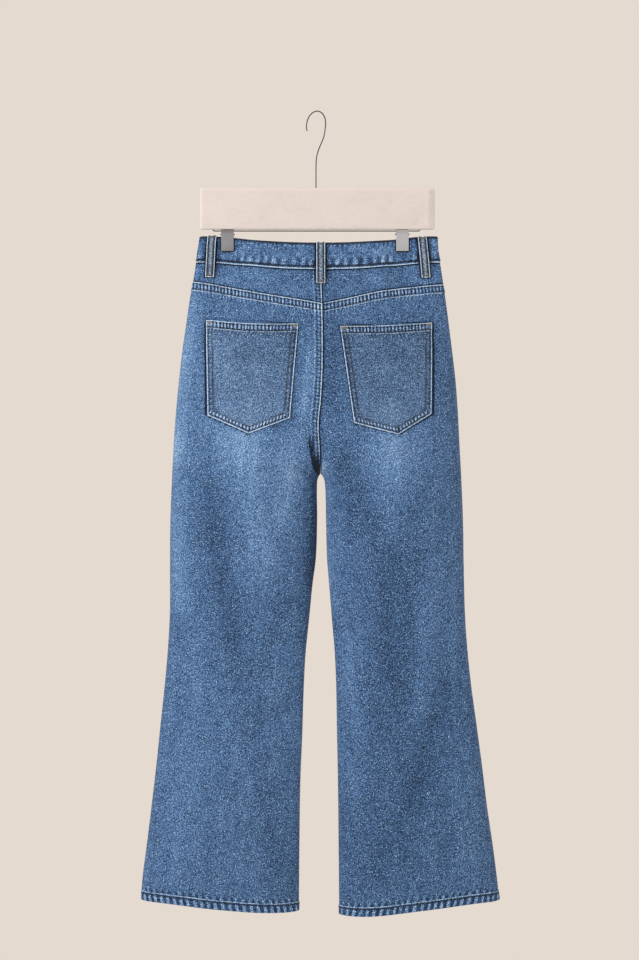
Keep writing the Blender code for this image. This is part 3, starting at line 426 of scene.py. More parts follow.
class Paint:
    """What the cloth's shader reads at each point of a grid."""

    def __init__(self, shape):
        # The tone carries the faded wash and wear together with painted light and shade.
        self.tone = np.zeros(shape)  # paler above nothing, darker below it
        self.rim = np.full(shape, FAR)  # distance from a worn edge
        # Near a crevice the shader paints shade.
        self.near = np.full(shape, FAR)  # distance from a crevice
        self.wave = np.zeros(shape)  # phase of the ribs
        self.size = np.zeros(shape)  # strength of the ribs

    def ribs(self, puckers, strength, where=True):
        """Adds puckers where they are stronger than those already there; the shader paints their
        crests lighter and their hollows darker, partly as wear and partly as painted light and
        shade.
        """
        size = np.broadcast_to(puckers.size * strength, self.size.shape)
        here = (size > np.abs(self.size)) & where
        self.size = np.where(here, size, self.size)
        self.wave = np.where(here, puckers.wave, self.wave)

    def line(self, tone, distance, place=0.0, wide=1.0):
        """A soft line of light (+) or shade (-) at a place along a distance."""
        self.tone += tone * bell((distance - place) / wide)

    def worn(self, distance, where=True):
        self.rim = np.minimum(self.rim, np.where(where, distance, FAR))

    # Brings a crevice nearer, beside which the shader paints shade.
    def close(self, distance, where=True):
        self.near = np.minimum(self.near, np.where(where, distance, FAR))


# ---------------------------------------------------------------- sections of the cloth
def centre_x(face, drop):
    return float(read_table(CENTRE_BACK, "x", drop)) if face == BACK else CENTRE_X


def band_edge(face, distance, column):
    """Drop of the waistband's top or of its seam at distances from the centre."""
    drop = read_table(BAND_EDGE, column, np.abs(distance))
    if face == FRONT:
        drop = drop + FRONT_DIP * ease(1 - np.abs(distance) / BAND_EDGE[-1].distance)
    return drop


def pinch(side, distance, drop):
    """How far the clips press the section flat, 0 to 1."""
    clip = abs(CLIP_X[side] - CENTRE_X)
    across = np.exp(-(np.abs(distance - clip) / PINCH_WIDE) ** 4)
    return across * (1 - ease((drop - PINCH_DEEP) / PINCH_FADE))


Section = namedtuple("Section", "run distance depth out_x out_y surface fold middle")


def section(side, face, drop, samples=96, round_steps=9):
    """Half a level section, from the centre plane or the inseam to the side seam."""
    middle = centre_x(face, drop)
    wide = abs(float(read_table(OUTLINE, NAMES[side], drop)) - middle) - HALF_GAP
    deep = float(read_table(DEPTH, "back" if face == BACK else "front", drop))
    fold = float(read_table(DEPTH, "fold", drop))
    start = BACK_CLEFT_START if face == BACK else FRONT_CLEFT_START
    if drop < CROTCH_DROP:
        part = max(0.0, (drop - start) / (CROTCH_DROP - start)) ** 2
        half = wide / (1 + part)
        centre = HALF_GAP + wide - half
    else:
        inner = abs(float(read_table(INSEAM, NAMES[side], drop)) - middle)
        half = (wide + HALF_GAP - inner) / 2
        centre = inner + half
    turn = np.linspace(0, math.pi, samples)
    distance = centre - (half - fold) * np.cos(turn)
    depth = deep * np.clip(np.sin(turn), 0, 1) ** LENS_POWER * (1 - pinch(side, distance, drop))
    along_x, along_y = np.gradient(distance), np.gradient(depth)
    first = math.atan2(along_x[0], -along_y[0])
    last = math.atan2(along_x[-1], -along_y[-1])
    caps = (np.linspace(math.pi, first, round_steps)[:-1], np.linspace(last, 0, round_steps)[1:])
    size = np.hypot(along_x, along_y)
    out_x = np.concatenate((np.cos(caps[0]), -along_y / size, np.cos(caps[1])))
    out_y = np.concatenate((np.sin(caps[0]), along_x / size, np.sin(caps[1])))
    ends = round_steps - 1
    distance = np.concatenate(([distance[0]] * ends, distance, [distance[-1]] * ends))
    depth = np.concatenate(([0.0] * ends, depth, [0.0] * ends))
    surface = distance + fold * out_x
    proud = depth + fold * out_y
    below = np.nonzero(surface < HALF_GAP)[0]
    if len(below):
        i = below[-1]
        u = (HALF_GAP - surface[i]) / (surface[i + 1] - surface[i])
        columns = [np.concatenate(([mix(c[i], c[i + 1], u)], c[i + 1:]))
                   for c in (distance, depth, out_x, out_y, surface, proud)]
        distance, depth, out_x, out_y, surface, proud = columns
    run = np.concatenate(([0], np.cumsum(np.hypot(np.diff(surface), np.diff(proud)))))
    return Section(run, distance, depth, out_x, out_y, surface, fold, middle)


def fold_rise(folds, x, drop):
    """Height of the folds of a table at places on a panel."""
    total = np.zeros(np.broadcast(x, drop).shape)
    for f in folds:
        dx, dd = f.x2 - f.x1, f.drop2 - f.drop1
        long = math.hypot(dx, dd)
        u = ((x - f.x1) * dx + (drop - f.drop1) * dd) / long ** 2
        off = ((x - f.x1) * dd - (drop - f.drop1) * dx) / long
        past = np.maximum(0.0, np.maximum(-u, u - 1)) * long
        total = total + f.rise * bell(off / f.width) * bell(past / (1.6 * f.width))
    return total


def fade_and_shade_tone(fades, x, drop):
    """How much paler (+) or darker (-) the faded wash and the painted light and shade leave the
    cloth at places on a panel.
    """
    total = np.zeros(np.broadcast(x, drop).shape)
    for f in fades:
        off = x - f.x - f.lean * (drop - f.drop)
        total = total + f.tone * bell(off / f.wide) * bell((drop - f.drop) / f.tall)
    return total


class ClothFace:
    """The outside of the jeans on one side and face, kept as close level rows."""

    def __init__(self, side, face):
        self.side, self.face = side, face
        drops = np.arange(ROW_TOP, ROW_FOOT, ROW_STEP)
        cuts = [section(side, face, float(drop)) for drop in drops]
        self.share = np.linspace(0, 1, SHARES)
        self.run = np.array([cut.run[-1] for cut in cuts])
        self.fold = np.array([cut.fold for cut in cuts])
        self.middle = np.array([cut.middle for cut in cuts])
        self.rows = np.array([[np.interp(self.share * cut.run[-1], cut.run, column)
                               for column in (cut.distance, cut.depth, cut.out_x, cut.out_y,
                                              cut.surface)] for cut in cuts])

    def between(self, drop):
        """The row above a drop, and how far it is on to the next."""
        place = np.clip((np.asarray(drop, dtype=float) - ROW_TOP) / ROW_STEP,
                        0, len(self.run) - 1.001)
        row = place.astype(int)
        return row, place - row

    def along(self, values, drop):
        row, u = self.between(drop)
        return mix(values[row], values[row + 1], u)

    def run_at(self, drop):
        return self.along(self.run, drop)

    def read(self, drop, share):
        """Distance, depth, out_x, out_y and surface at drops and shares."""
        row, u = self.between(drop)
        place = np.clip(share, 0, 1) * (SHARES - 1)
        column = np.minimum(place.astype(int), SHARES - 2)
        v = place - column
        corners = [self.rows[row + i, :, column + j] for i in (0, 1) for j in (0, 1)]
        u, v = u[..., None], v[..., None]
        found = mix(mix(corners[0], corners[1], v), mix(corners[2], corners[3], v), u)
        return np.moveaxis(found, -1, 0)

    def frame_at(self, drop, share):
        """The cloth's outside without lift, its outward direction, and x on the panel."""
        drop, share = np.broadcast_arrays(np.asarray(drop, float), np.asarray(share, float))
        distance, depth, out_x, out_y, _ = self.read(drop, share)
        size = np.hypot(out_x, out_y)
        fold, middle = self.along(self.fold, drop), self.along(self.middle, drop)
        x = middle + self.side * distance
        run = self.run_at(drop)
        edge = np.minimum(share, 1 - share) * run
        soft = (fold_rise(FOLDS[self.side, self.face], x, drop)
                + fold_rise(CREASES[self.side, self.face], x, drop)
                + self.crumple((1 - share) * run, drop))
        away = fold + soft * ease(edge / FOLD_EDGE)
        out = np.stack((self.side * out_x / size, self.face * out_y / size,
                        np.zeros_like(size)), -1)
        core = np.stack((x, self.face * (HALF_GAP + depth), -drop), -1)
        return core + away[..., None] * out, out, x

    def crumple(self, run, drop):
        """The small unevenness of heavy cloth."""
        seed = 5 + 2 * self.side + self.face
        calm = ease((drop - 250) / 60)  # flat near the waist
        return calm * (0.42 * noise(run / 31, drop / 74, seed)
                       + 0.22 * noise(run / 13, drop / 33, seed + 1)
                       + 0.10 * noise(run / 5.5, drop / 12, seed + 2))

    def path(self, drop, share):
        """Points on the cloth and their outward directions, for rows of stitches."""
        return self.frame_at(drop, share)[:2]

    def share_at(self, drop, x):
        """The share at which the cloth's outside has this x."""
        drop, x = np.broadcast_arrays(np.asarray(drop, float), np.asarray(x, float))
        row, u = self.between(drop)
        distance = np.abs(x - self.along(self.middle, drop))
        found = [mix(np.interp(d, self.rows[i, 4], self.share),
                     np.interp(d, self.rows[i + 1, 4], self.share), k)
                 for d, i, k in zip(distance.ravel(), row.ravel(), u.ravel())]
        return np.array(found).reshape(drop.shape)

    def waist_drop(self, share, column):
        """Drop of the waistband's top edge or seam at shares of the way to the side seam."""
        level = np.full(np.shape(share), WAIST_LEVELS[column])
        x = self.frame_at(level, share)[0][..., 0]
        return band_edge(self.face, x - centre_x(self.face, WAIST_LEVELS[column]), column)


@lru_cache(maxsize=None)
def cloth_face(side, face):
    return ClothFace(side, face)


# ---------------------------------------------------------------- meshes
def make_object(name, data, material, nodes):
    """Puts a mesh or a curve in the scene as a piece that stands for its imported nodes."""
    data.materials.append(material)
    ob = bpy.data.objects.new(name, data)
    bpy.context.scene.collection.objects.link(ob)
    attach(ob, "root")
    if nodes:
        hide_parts(*nodes)
    return ob


def paint_layer(mesh, name, values):
    layer = mesh.attributes.new(name, "FLOAT", "POINT")
    layer.data.foreach_set("value", np.asarray(values, dtype=np.float32).ravel())


def lay_cloth(mesh, weft, warp):
    """Gives each corner of a mesh its place on the bolt of cloth, from one per point."""
    corner = np.zeros(len(mesh.loops), dtype=int)
    mesh.loops.foreach_get("vertex_index", corner)
    place = np.stack((weft, warp), -1)[corner] * MM
    mesh.uv_layers.new(name="cloth").data.foreach_set("uv", place.astype(np.float32).ravel())


def cloth_piece(name, outer, inner, warp, weft, paint, material=None):
    """A closed cloth wall between two grids of points."""
    rows, columns = outer.shape[:2]
    count = rows * columns
    points = np.concatenate((outer.reshape(-1, 3), inner.reshape(-1, 3))) * MM
    at = np.arange(count).reshape(rows, columns)
    quads = np.stack((at[:-1, :-1], at[:-1, 1:], at[1:, 1:], at[1:, :-1]), -1).reshape(-1, 4)
    rim = np.concatenate((at[0, :], at[1:, -1], at[-1, -2::-1], at[-2:0:-1, 0]))
    after = np.roll(rim, -1)
    faces = np.concatenate((quads, quads[:, ::-1] + count,
                            np.stack((rim, rim + count, after + count, after), -1)))
    a, b, c = (points[quads[:, k]] for k in (0, 1, 3))
    normal = np.cross(b - a, c - a)
    if (normal * (a - points[quads[:, 0] + count])).sum() < 0:
        faces = faces[:, ::-1]
    mesh = bpy.data.meshes.new(f"denim_{name}")
    mesh.from_pydata(points.tolist(), [], faces.tolist())
    lay_cloth(mesh, np.tile(weft.ravel(), 2), np.tile(warp.ravel(), 2))
    for key, values in vars(paint).items():
        paint_layer(mesh, key, np.tile(values.ravel(), 2))
    paint_layer(mesh, "inside", np.repeat((0.0, 1.0), count))
    mesh.shade_smooth()
    mesh.set_sharp_from_angle(angle=math.radians(62))
    ob = make_object(f"denim_{name}", mesh, material or denim(), [name])
    return ob


# ---------------------------------------------------------------- sewing
FELL_ROWS, SCOOP_ROWS, FRONT_ROWS = (2.4, 7.6), (1.8, 7.6), (2.2, 7.6)
YOKE_ROWS = {"tonal": 2.4, "grey": 11.0}  # below the yoke's seam
HEM_ROW = 11.5
TACK_STEP, TACK_RADIUS = 0.68, 0.36
ALONG = np.linspace(0.004, 0.996, 200)  # shares of a panel that a row across it passes


class Sewing:
    """Stitches of one thread on one piece, each pulled down onto the piece's surface."""

    def __init__(self, piece, reach=9.0):
        self.tree = BVHTree.FromObject(piece, bpy.context.evaluated_depsgraph_get())
        self.reach = reach * MM
        self.sizes = bpy.context.scene.jeans_sewing
        self.lines = []

    def stitch(self, points, outs):
        """A stitch on the cloth below a few points, if there is cloth below all of them."""
        found = [self.tree.ray_cast(Vector(point + out * self.reach), Vector(-out),
                                    2 * self.reach)[:2]
                 for point, out in zip(points * MM, outs)]
        if all(place is not None for place, _ in found):
            self.lines.append(found)

    def row(self, points, outs, start=0.0):
        """A row of stitches along a path of points above the cloth."""
        step = np.linalg.norm(np.diff(points, axis=0), axis=1)
        length = np.concatenate(([0.0], np.cumsum(step)))
        pitch = self.sizes.stitch + self.sizes.gap
        for k in range(int((length[-1] - start) / pitch)):
            at = start + k * pitch + np.linspace(0, self.sizes.stitch, 4)
            self.stitch(*(np.stack([np.interp(at, length, column) for column in values.T], -1)
                          for values in (points, outs)))

    def seam(self, face, rows, levels):
        """Rows of stitches straight down a panel, at distances from its inner edge."""
        for row in rows:
            self.row(*face.path(levels, row / face.run_at(levels)))

    def tack(self, first, last, out, width):
        """A bar tack: close stitches side by side between two ends."""
        along = last - first
        long = np.linalg.norm(along)
        across = np.cross(out, along / long) * width / 2
        count = max(2, int(long / TACK_STEP))
        for k in range(count):
            middle = first + along * (k + 0.5) / count
            ends = np.array([middle - across, middle - across / 3,
                             middle + across / 3, middle + across])
            self.stitch(ends, np.repeat(out[None], 4, 0))

    def make(self, name, colour, radius=None):
        """One mesh of all the stitches so far, in a colour of thread."""
        sides = 5
        radius = (radius or self.sizes.radius) * MM
        centre, normal = np.moveaxis(np.array(self.lines), 2, 0)
        normal = normal / np.linalg.norm(normal, axis=-1, keepdims=True)
        tangent = np.gradient(centre, axis=1)
        tangent /= np.maximum(np.linalg.norm(tangent, axis=-1, keepdims=True), 1e-9)
        side = np.cross(normal, tangent)
        height = np.array([-0.8, 0.45, 0.45, -0.8]) * radius
        slim = np.array([0.75, 1.0, 1.0, 0.75]) * radius
        centre = centre + height[None, :, None] * normal
        turn = 2 * math.pi * np.arange(sides) / sides
        points = (centre[:, :, None]
                  + slim[None, :, None, None] * (np.cos(turn)[:, None] * side[:, :, None]
                                                 + np.sin(turn)[:, None] * normal[:, :, None]))
        at = np.arange(points[..., 0].size).reshape(points.shape[:3])
        after = np.roll(at, -1, axis=2)
        quads = np.stack((at[:, :-1], after[:, :-1], after[:, 1:], at[:, 1:]), -1).reshape(-1, 4)
        faces = quads.tolist() + at[:, 0, ::-1].tolist() + at[:, -1].tolist()
        mesh = bpy.data.meshes.new(name)
        mesh.from_pydata(points.reshape(-1, 3).tolist(), [], faces)
        mesh.shade_smooth()
        make_object(name, mesh, thread(colour), [])


def raised(base, out, lift):
    """The points of a grid moved out by a lift."""
    return base + lift[..., None] * out


# ---------------------------------------------------------------- materials
TO_MM = (1000, 1000, 1000)


class Shader:
    """A Principled material and short ways to add nodes to it."""

    def __init__(self, name):
        self.material = bpy.data.materials.new(name)
        self.material.use_nodes = True
        self.tree = self.material.node_tree
        self.main = self.tree.nodes["Principled BSDF"]

    def surface(self, **values):
        """Sets the surface's sockets, named with _ for a space."""
        for name, value in values.items():
            self.put(self.main.inputs[name.replace("_", " ")], value)

    def put(self, socket, value):
        if isinstance(value, bpy.types.NodeSocket):
            self.tree.links.new(value, socket)
        elif value is not None:
            socket.default_value = value

    def node(self, kind, values=(), **settings):
        node = self.tree.nodes.new(kind)
        for key, value in settings.items():
            setattr(node, key, value)
        for key, value in dict(values).items():
            self.put(node.inputs[key], value)
        return node

    def math(self, operation, a, b=None, clamp=False):
        return self.node("ShaderNodeMath", {0: a, 1: b}, operation=operation,
                         use_clamp=clamp).outputs[0]

    def bolt(self):
        """The place on the bolt of cloth in millimetres."""
        return self.scaled(self.node("ShaderNodeUVMap", uv_map="cloth").outputs[0], TO_MM)

    def place(self):
        """The place on the piece in millimetres."""
        return self.scaled(self.node("ShaderNodeTexCoord").outputs["Object"], TO_MM)

    def scaled(self, vector, scale):
        return self.node("ShaderNodeVectorMath", {0: vector, 1: scale},
                         operation="MULTIPLY").outputs[0]

    def turned(self, vector, angle):
        return self.node("ShaderNodeVectorRotate", {"Vector": vector, "Angle": angle},
                         rotation_type="Z_AXIS").outputs[0]

    def noise(self, vector, detail=2.0, rough=0.5, flat=True):
        return self.node("ShaderNodeTexNoise",
                         {"Vector": vector, "Scale": 1.0, "Detail": detail, "Roughness": rough},
                         noise_dimensions="2D" if flat else "3D").outputs[0]

    def ranged(self, value, low, high, to_low=0.0, to_high=1.0, kind="LINEAR"):
        return self.node("ShaderNodeMapRange", {0: value, 1: low, 2: high, 3: to_low, 4: to_high},
                         interpolation_type=kind).outputs[0]

    def falling(self, distance, near, far, top=1.0):
        """From the top value at the near distance to nothing at the far one."""
        return self.ranged(distance, near, far, top, 0.0, "SMOOTHSTEP")

    def specks(self, vector, wide, tall, angle, share):
        """Small pale specks and dark specks of yarn, each on this share of its cells."""
        place = self.scaled(self.turned(vector, angle), (1 / wide, 1 / tall, 1))
        cell = self.node("ShaderNodeTexVoronoi", {"Vector": place, "Scale": 1.0},
                         voronoi_dimensions="2D").outputs
        chance = self.node("ShaderNodeSeparateColor", {0: cell["Color"]}).outputs[0]
        dot = self.falling(cell["Distance"], 0.16, 0.5)
        pale = self.math("MULTIPLY", dot, self.ranged(chance, 1 - share, 1 - share / 3))
        dark = self.math("MULTIPLY", dot, self.ranged(chance, share, share / 3))
        return pale, dark

    def attribute(self, name):
        return self.node("ShaderNodeAttribute", attribute_name=name).outputs["Fac"]

    def total(self, terms):
        """The sum of (socket, factor) pairs."""
        result = None
        for value, factor in terms:
            part = self.math("MULTIPLY", value, factor)
            result = part if result is None else self.math("ADD", result, part)
        return result

    def ramp(self, value, stops):
        node = self.node("ShaderNodeValToRGB", {"Fac": value})
        while len(node.color_ramp.elements) < len(stops):
            node.color_ramp.elements.new(0.5)
        for element, (place, colour) in zip(node.color_ramp.elements, stops):
            element.position = place
            element.color = (*colour, 1)
        return node.outputs["Color"]

    def bump(self, height, distance, strength=1.0):
        node = self.node("ShaderNodeBump",
                         {"Height": height, "Distance": distance, "Strength": strength})
        self.surface(Normal=node.outputs["Normal"])


def tinted(colour, factor):
    return tuple(min(1.0, c * factor) for c in colour)


def between(a, b, u):
    return tuple(mix(p, q, u) for p, q in zip(a, b))


@lru_cache(maxsize=None)
def denim(name="denim_twill", grey=0.0, base=0.48):
    """Stonewashed twill: indigo warp over pale weft, worn and painted light where the cloth stands
    proud.

    Grey is how far the wash has taken the blue out of a piece, from 0 to 1.
    """
    cloth = bpy.context.scene.jeans_cloth
    s = Shader(name)
    place = s.bolt()
    parts = s.node("ShaderNodeSeparateXYZ", {0: place}).outputs
    lines = s.math("ADD", s.math("MULTIPLY", parts[0], 2 * math.pi / cloth.twill),
                   s.math("MULTIPLY", parts[1], 2 * math.pi / (1.35 * cloth.twill)))
    twill = s.math("SINE", lines)
    fleck = s.noise(s.scaled(place, (1 / 1.35, 1 / 1.85, 1)), 1.0, 0.6)
    slub = s.noise(s.scaled(place, (1 / 1.6, 1 / 13, 1)), 2.0, 0.6)
    streak = s.noise(s.scaled(place, (1 / 9, 1 / 120, 1)), 2.0)
    patch = s.noise(s.scaled(place, (1 / 24, 1 / 38, 1)), 3.0, 0.6)
    layers = [s.specks(place, 1.5, 2.0, 0.0, 0.36), s.specks(place, 1.35, 2.9, 0.62, 0.26),
              s.specks(place, 1.35, 2.7, -0.7, 0.22)]
    pale = s.total([(layer[0], 0.18) for layer in layers])
    dark = s.total([(layer[1], 0.36) for layer in layers])
    strength = cloth.slub
    yarn = s.total([
        (twill, 0.03), (s.math("SUBTRACT", fleck, 0.5), 1.0 * strength),
        (s.math("SUBTRACT", slub, 0.5), 0.16 * strength), (pale, strength), (dark, -strength)])
    # The painted tone: faded wash and wear with painted light and shade, plus streaks and patches
    # of the wash.
    wash = s.total([(s.attribute("tone"), 1.0), (s.math("SUBTRACT", streak, 0.5), 0.10),
                    (s.math("SUBTRACT", patch, 0.5), 0.10)])
    rib = s.math("COSINE", s.attribute("wave"))
    size = s.attribute("size")
    # Pucker ribs: crests painted lighter and hollows darker, partly wear and partly painted light
    # and shade.
    ribbed = s.math("MULTIPLY", size, s.ranged(rib, -0.55, 0.65, -0.46, 0.54, "SMOOTHSTEP"))
    broken = s.ranged(fleck, 0.25, 0.7, 0.55, 1.1)
    rim = s.math("MULTIPLY", s.falling(s.attribute("rim"), 0.9, 1.9, 0.60), broken)
    # Painted shade in crevices beside seams and beside pieces that lie on the cloth.
    crevice_shade = s.math("ADD", s.falling(s.attribute("near"), 0.7, 1.9, 0.62),
                     s.falling(s.attribute("near"), 0.0, 8.0, 0.07))
    yarn = s.math("MULTIPLY", yarn, s.ranged(wash, -0.12, 0.15, 1.22, 0.80))
    tone = s.math("ADD", s.math("ADD", yarn, wash), s.math("ADD", ribbed, rim))
    tone = s.math("SUBTRACT", s.math("ADD", tone, base), crevice_shade)
    # The darkest stop is the colour of painted deep shade.
    shades = [
        (0.04, tinted(cloth.indigo, 0.18)), (0.25, tinted(cloth.indigo, 0.75)),
        (0.39, between(cloth.indigo, cloth.washed, 0.5)), (0.5, tuple(cloth.washed)),
        (0.68, tuple(cloth.worn)), (0.84, between(cloth.worn, cloth.weft, 0.55)),
        (1.0, tuple(cloth.weft))]
    outside = s.ramp(tone, [
        (place, between(shade, tinted((0.85, 1.02, 1.18), sum(shade) / 3), grey))
        for place, shade in shades])
    inside = s.ramp(tone, [(0.2, between(cloth.worn, cloth.washed, 0.5)),
                           (0.8, between(cloth.worn, cloth.weft, 0.7))])
    colour = s.node("ShaderNodeMix", {0: s.attribute("inside"), 6: outside, 7: inside},
                    data_type="RGBA").outputs[2]
    s.surface(Base_Color=colour, Roughness=s.ranged(fleck, 0.3, 0.7, 0.95, 0.8),
              Sheen_Weight=0.08, Sheen_Roughness=0.5, Sheen_Tint=(0.62, 0.74, 0.9, 1),
              Specular_IOR_Level=0.2)
    s.bump(s.total([(twill, 0.06), (fleck, 0.25), (pale, 0.35), (dark, -0.35), (ribbed, 0.45)]),
           MM, 0.8)
    return s.material


@lru_cache(maxsize=None)
def thread(name):
    """Twisted sewing thread, in one of the colours that a user may change."""
    colour = getattr(bpy.context.scene.jeans_sewing, name)
    s = Shader(name)
    twist = s.noise(s.scaled(s.place(), (1.9, 1.9, 1.9)), 2.0, 0.6, flat=False)
    s.surface(Base_Color=s.ramp(twist, [(0.3, tinted(colour, 0.62)), (0.7, tinted(colour, 1.35))]),
              Roughness=0.62, Sheen_Weight=0.2)
    s.bump(twist, 0.08 * MM)
    return s.material


def canvas():
    """The plain weave cotton of the bar's cover."""
    s = Shader("cover_canvas")
    place = s.bolt()
    parts = s.node("ShaderNodeSeparateXYZ", {0: place}).outputs
    warp = s.math("SINE", s.math("MULTIPLY", parts[0], 2 * math.pi / 0.9))
    weft = s.math("SINE", s.math("MULTIPLY", parts[1], 2 * math.pi / 0.9))
    weave = s.math("MULTIPLY", warp, weft)
    slub = s.noise(s.scaled(place, (1 / 15, 1 / 1.1, 1)), 2.0)
    slub_down = s.noise(s.scaled(place, (1 / 1.1, 1 / 13, 1)), 2.0)
    grey = s.noise(s.scaled(place, (1 / 44, 1 / 30, 1)), 3.0)
    base = tuple(bpy.context.scene.hanger_looks.canvas)
    # The cover's painted tone carries painted highlights and painted shade.
    tone = s.total([(s.attribute("tone"), 1.0), (weave, 0.03), (slub, 0.24), (slub_down, 0.20),
                    (grey, 0.20)])
    tone = s.math("ADD", tone, 0.19)
    s.surface(Base_Color=s.ramp(tone, [(0.15, tinted(base, 0.72)), (0.5, base),
                                       (0.9, tinted(base, 1.14))]),
              Roughness=0.93, Sheen_Weight=0.12)
    s.bump(s.total([(weave, 0.5), (slub, 0.8), (slub_down, 0.8)]), 0.2 * MM, 0.7)
    return s.material


def metal(name, colour, rough, grain):
    """Plated or pressed metal with a fine grain, faint stains and soft scuffs."""
    s = Shader(name)
    place = s.place()
    lines = s.noise(s.scaled(place, grain), 3.0, 0.6, flat=False)
    cloud = s.noise(s.scaled(place, (0.06, 0.06, 0.06)), 2.0, 0.5, flat=False)
    tone = s.total([(lines, 0.5), (cloud, 0.5)])
    s.surface(Base_Color=s.ramp(tone, [(0.3, tinted(colour, 0.82)), (0.5, tuple(colour)),
                                       (0.7, tinted(colour, 1.12))]),
              Roughness=s.ranged(tone, 0.3, 0.7, rough + 0.12, rough - 0.08), Metallic=1.0)
    s.bump(lines, 0.03 * MM, 0.5)
    return s.material


# ---------------------------------------------------------------- grids across a panel
def columns_at(run, near, far, count):
    """Shares across a panel: given steps at both edges and even ones between them."""
    run = np.asarray(run, dtype=float)[..., None]
    near, far = np.array(near), np.array(far[::-1])
    even = mix(near[-1], run - far[0], np.arange(1, count + 1) / (count + 1))
    near = np.broadcast_to(near, run.shape[:-1] + near.shape)
    return np.concatenate((near, even, run - far), -1) / run


FELL_COLUMNS = [0, 0.3, 0.7, 1.2, 1.9, 2.6, 3.4, 4.4, 5.6, 6.8, 7.6, 8.4, 9.6, 10.8, 12, 12.8,
                13.3, 13.8, 14.6, 16]
SIDE_COLUMNS = [0, 0.3, 0.8, 1.5, 2.4, 4, 6, 9]
YOKE_LEVEL = 262.0
BAND_ROWS = [0, 0.25, 0.6, 1.0, 1.5, 2.1, 2.8, 3.7, 4.8, 6, 7.2, 8.4, 9.6, 10.6, 11.4, 12.2, 13,
             13.4, 13.8, 14.5, 15.6, 17, 18.8, 21]
HEM_ROWS = [32, 26, 22, 19.5, 17.8, 16.4, 15.3, 14.5, 14.0, 13.6, 13.1, 12.5, 11.6, 10.5, 9.2, 7.8,
            6.4, 5, 3.8, 2.8, 1.9, 1.2, 0.7, 0.3, 0]
FRONT_COLUMNS = [0, 0.4, 0.9, 1.6, 2.6, 4, 6, 9]
FRONT_TOP_ROWS = [0, 0.3, 0.7, 1.2, 1.8, 2.6, 3.6, 4.8, 6, 7.4, 9, 11, 14, 18, 23, 29, 36, 44, 52,
                  62, 72, 82, 94]
BAND_STEPS = [0, 0.25, 0.6, 1.1, 1.8, 2.5, 3.2, 4.2, 5.6, 7.4, 9.6, 12, 14.5, 17, 19.5, 22, 24.5,
              27, 29.4, 31.6, 33.4, 35, 36.3, 37.2, 38.0, 38.7, 39.3, 39.7, 40]
# A leg's rows are level from a drop near the yoke or the scoop down to its foot, this far apart
# on the seat and on the leg.
BACK_LEVEL, FRONT_LEVEL, LEG_FOOT = 322.0, 332.0, 1140.0
SEAT_FOOT = 560
BACK_STEPS, FRONT_STEPS = (3.5, 4.6), (5.0, 5.4)
HEM_LEVEL = 1165.0  # where a hem's shares are measured


def yoke_drop(side, share):
    """Drop of the yoke seam at a share across the seat."""
    face = cloth_face(side, BACK)
    x = face.frame_at(np.full(np.shape(share), YOKE_LEVEL), share)[2]
    return read_table(YOKE_SEAM, NAMES[side], np.abs(x - centre_x(BACK, YOKE_LEVEL)))


def hem_drop(side, share):
    return read_table(HEM_EDGE, NAMES[side], share)


def felled(distance):
    """Height of a lapped band: proud from its edge to its width."""
    return FELL_RISE * (1 - ease((distance - FELL_WIDTH) / 1.0)) + round_off(distance, 0.7)


def near_line(points, first, last):
    """Distance of places from a straight line between two places."""
    first, last = np.array(first, float), np.array(last, float)
    along = last - first
    u = np.clip(((points - first) @ along) / (along @ along), 0, 1)
    return np.linalg.norm(points - (first + u[..., None] * along), axis=-1)


def patch_corners(patch):
    """Corners of a back pocket as (x, drop), round from its inner top corner."""
    return [(patch.in_x, patch.in_drop), (patch.out_x, patch.out_drop),
            (patch.low_out_x, patch.low_out_drop), (patch.point_x, patch.point_drop),
            (patch.low_in_x, patch.low_in_drop)]


def loop_sides(loop):
    """The two long sides of a belt loop, each from its top to its foot as (x, drop)."""
    return [((loop.top_x + k, loop.top_drop), (loop.foot_x + k, loop.foot_drop))
            for k in (-LOOP_WIDTH / 2, LOOP_WIDTH / 2)]


def near_pieces(side, face, x, drop):
    """Distance from the pocket, the loops and the fly that lie on a panel."""
    points = np.stack((x, drop), -1)
    if face == BACK:
        corners = patch_corners(BACK_POCKETS[0 if side == LEFT else 1])
        lines = list(zip(corners, corners[1:] + corners[:1]))
    else:
        fly_x = CENTRE_X + FLY_WIDTH
        lines = [((fly_x, 240), (fly_x, FLY_DROP - FLY_TURN)),
                 ((fly_x, FLY_DROP - FLY_TURN), (CENTRE_X + 20, FLY_DROP - 5))]
    for loop in BELT_LOOPS:
        if loop.face == face:
            sides = loop_sides(loop)
            lines += sides + [(sides[0][1], sides[1][1])]
    return np.minimum.reduce([near_line(points, first, last) for first, last in lines])


def leg_tone(side, face, x, drop):
    """The wash of a leg with painted light and shade: broad patches, strokes, and the ridges and
    valleys of its folds.
    """
    panel = (side, face)
    return (fade_and_shade_tone(FADE_AND_SHADE_PATCHES[panel], x, drop) + fold_rise(STROKES[panel], x, drop)
            # Painted light on the ridges of the folds and creases, and painted shade in their
            # valleys.
            + 0.016 * fold_rise(FOLDS[panel], x, drop)
            + 0.030 * fold_rise(CREASES[panel], x, drop))


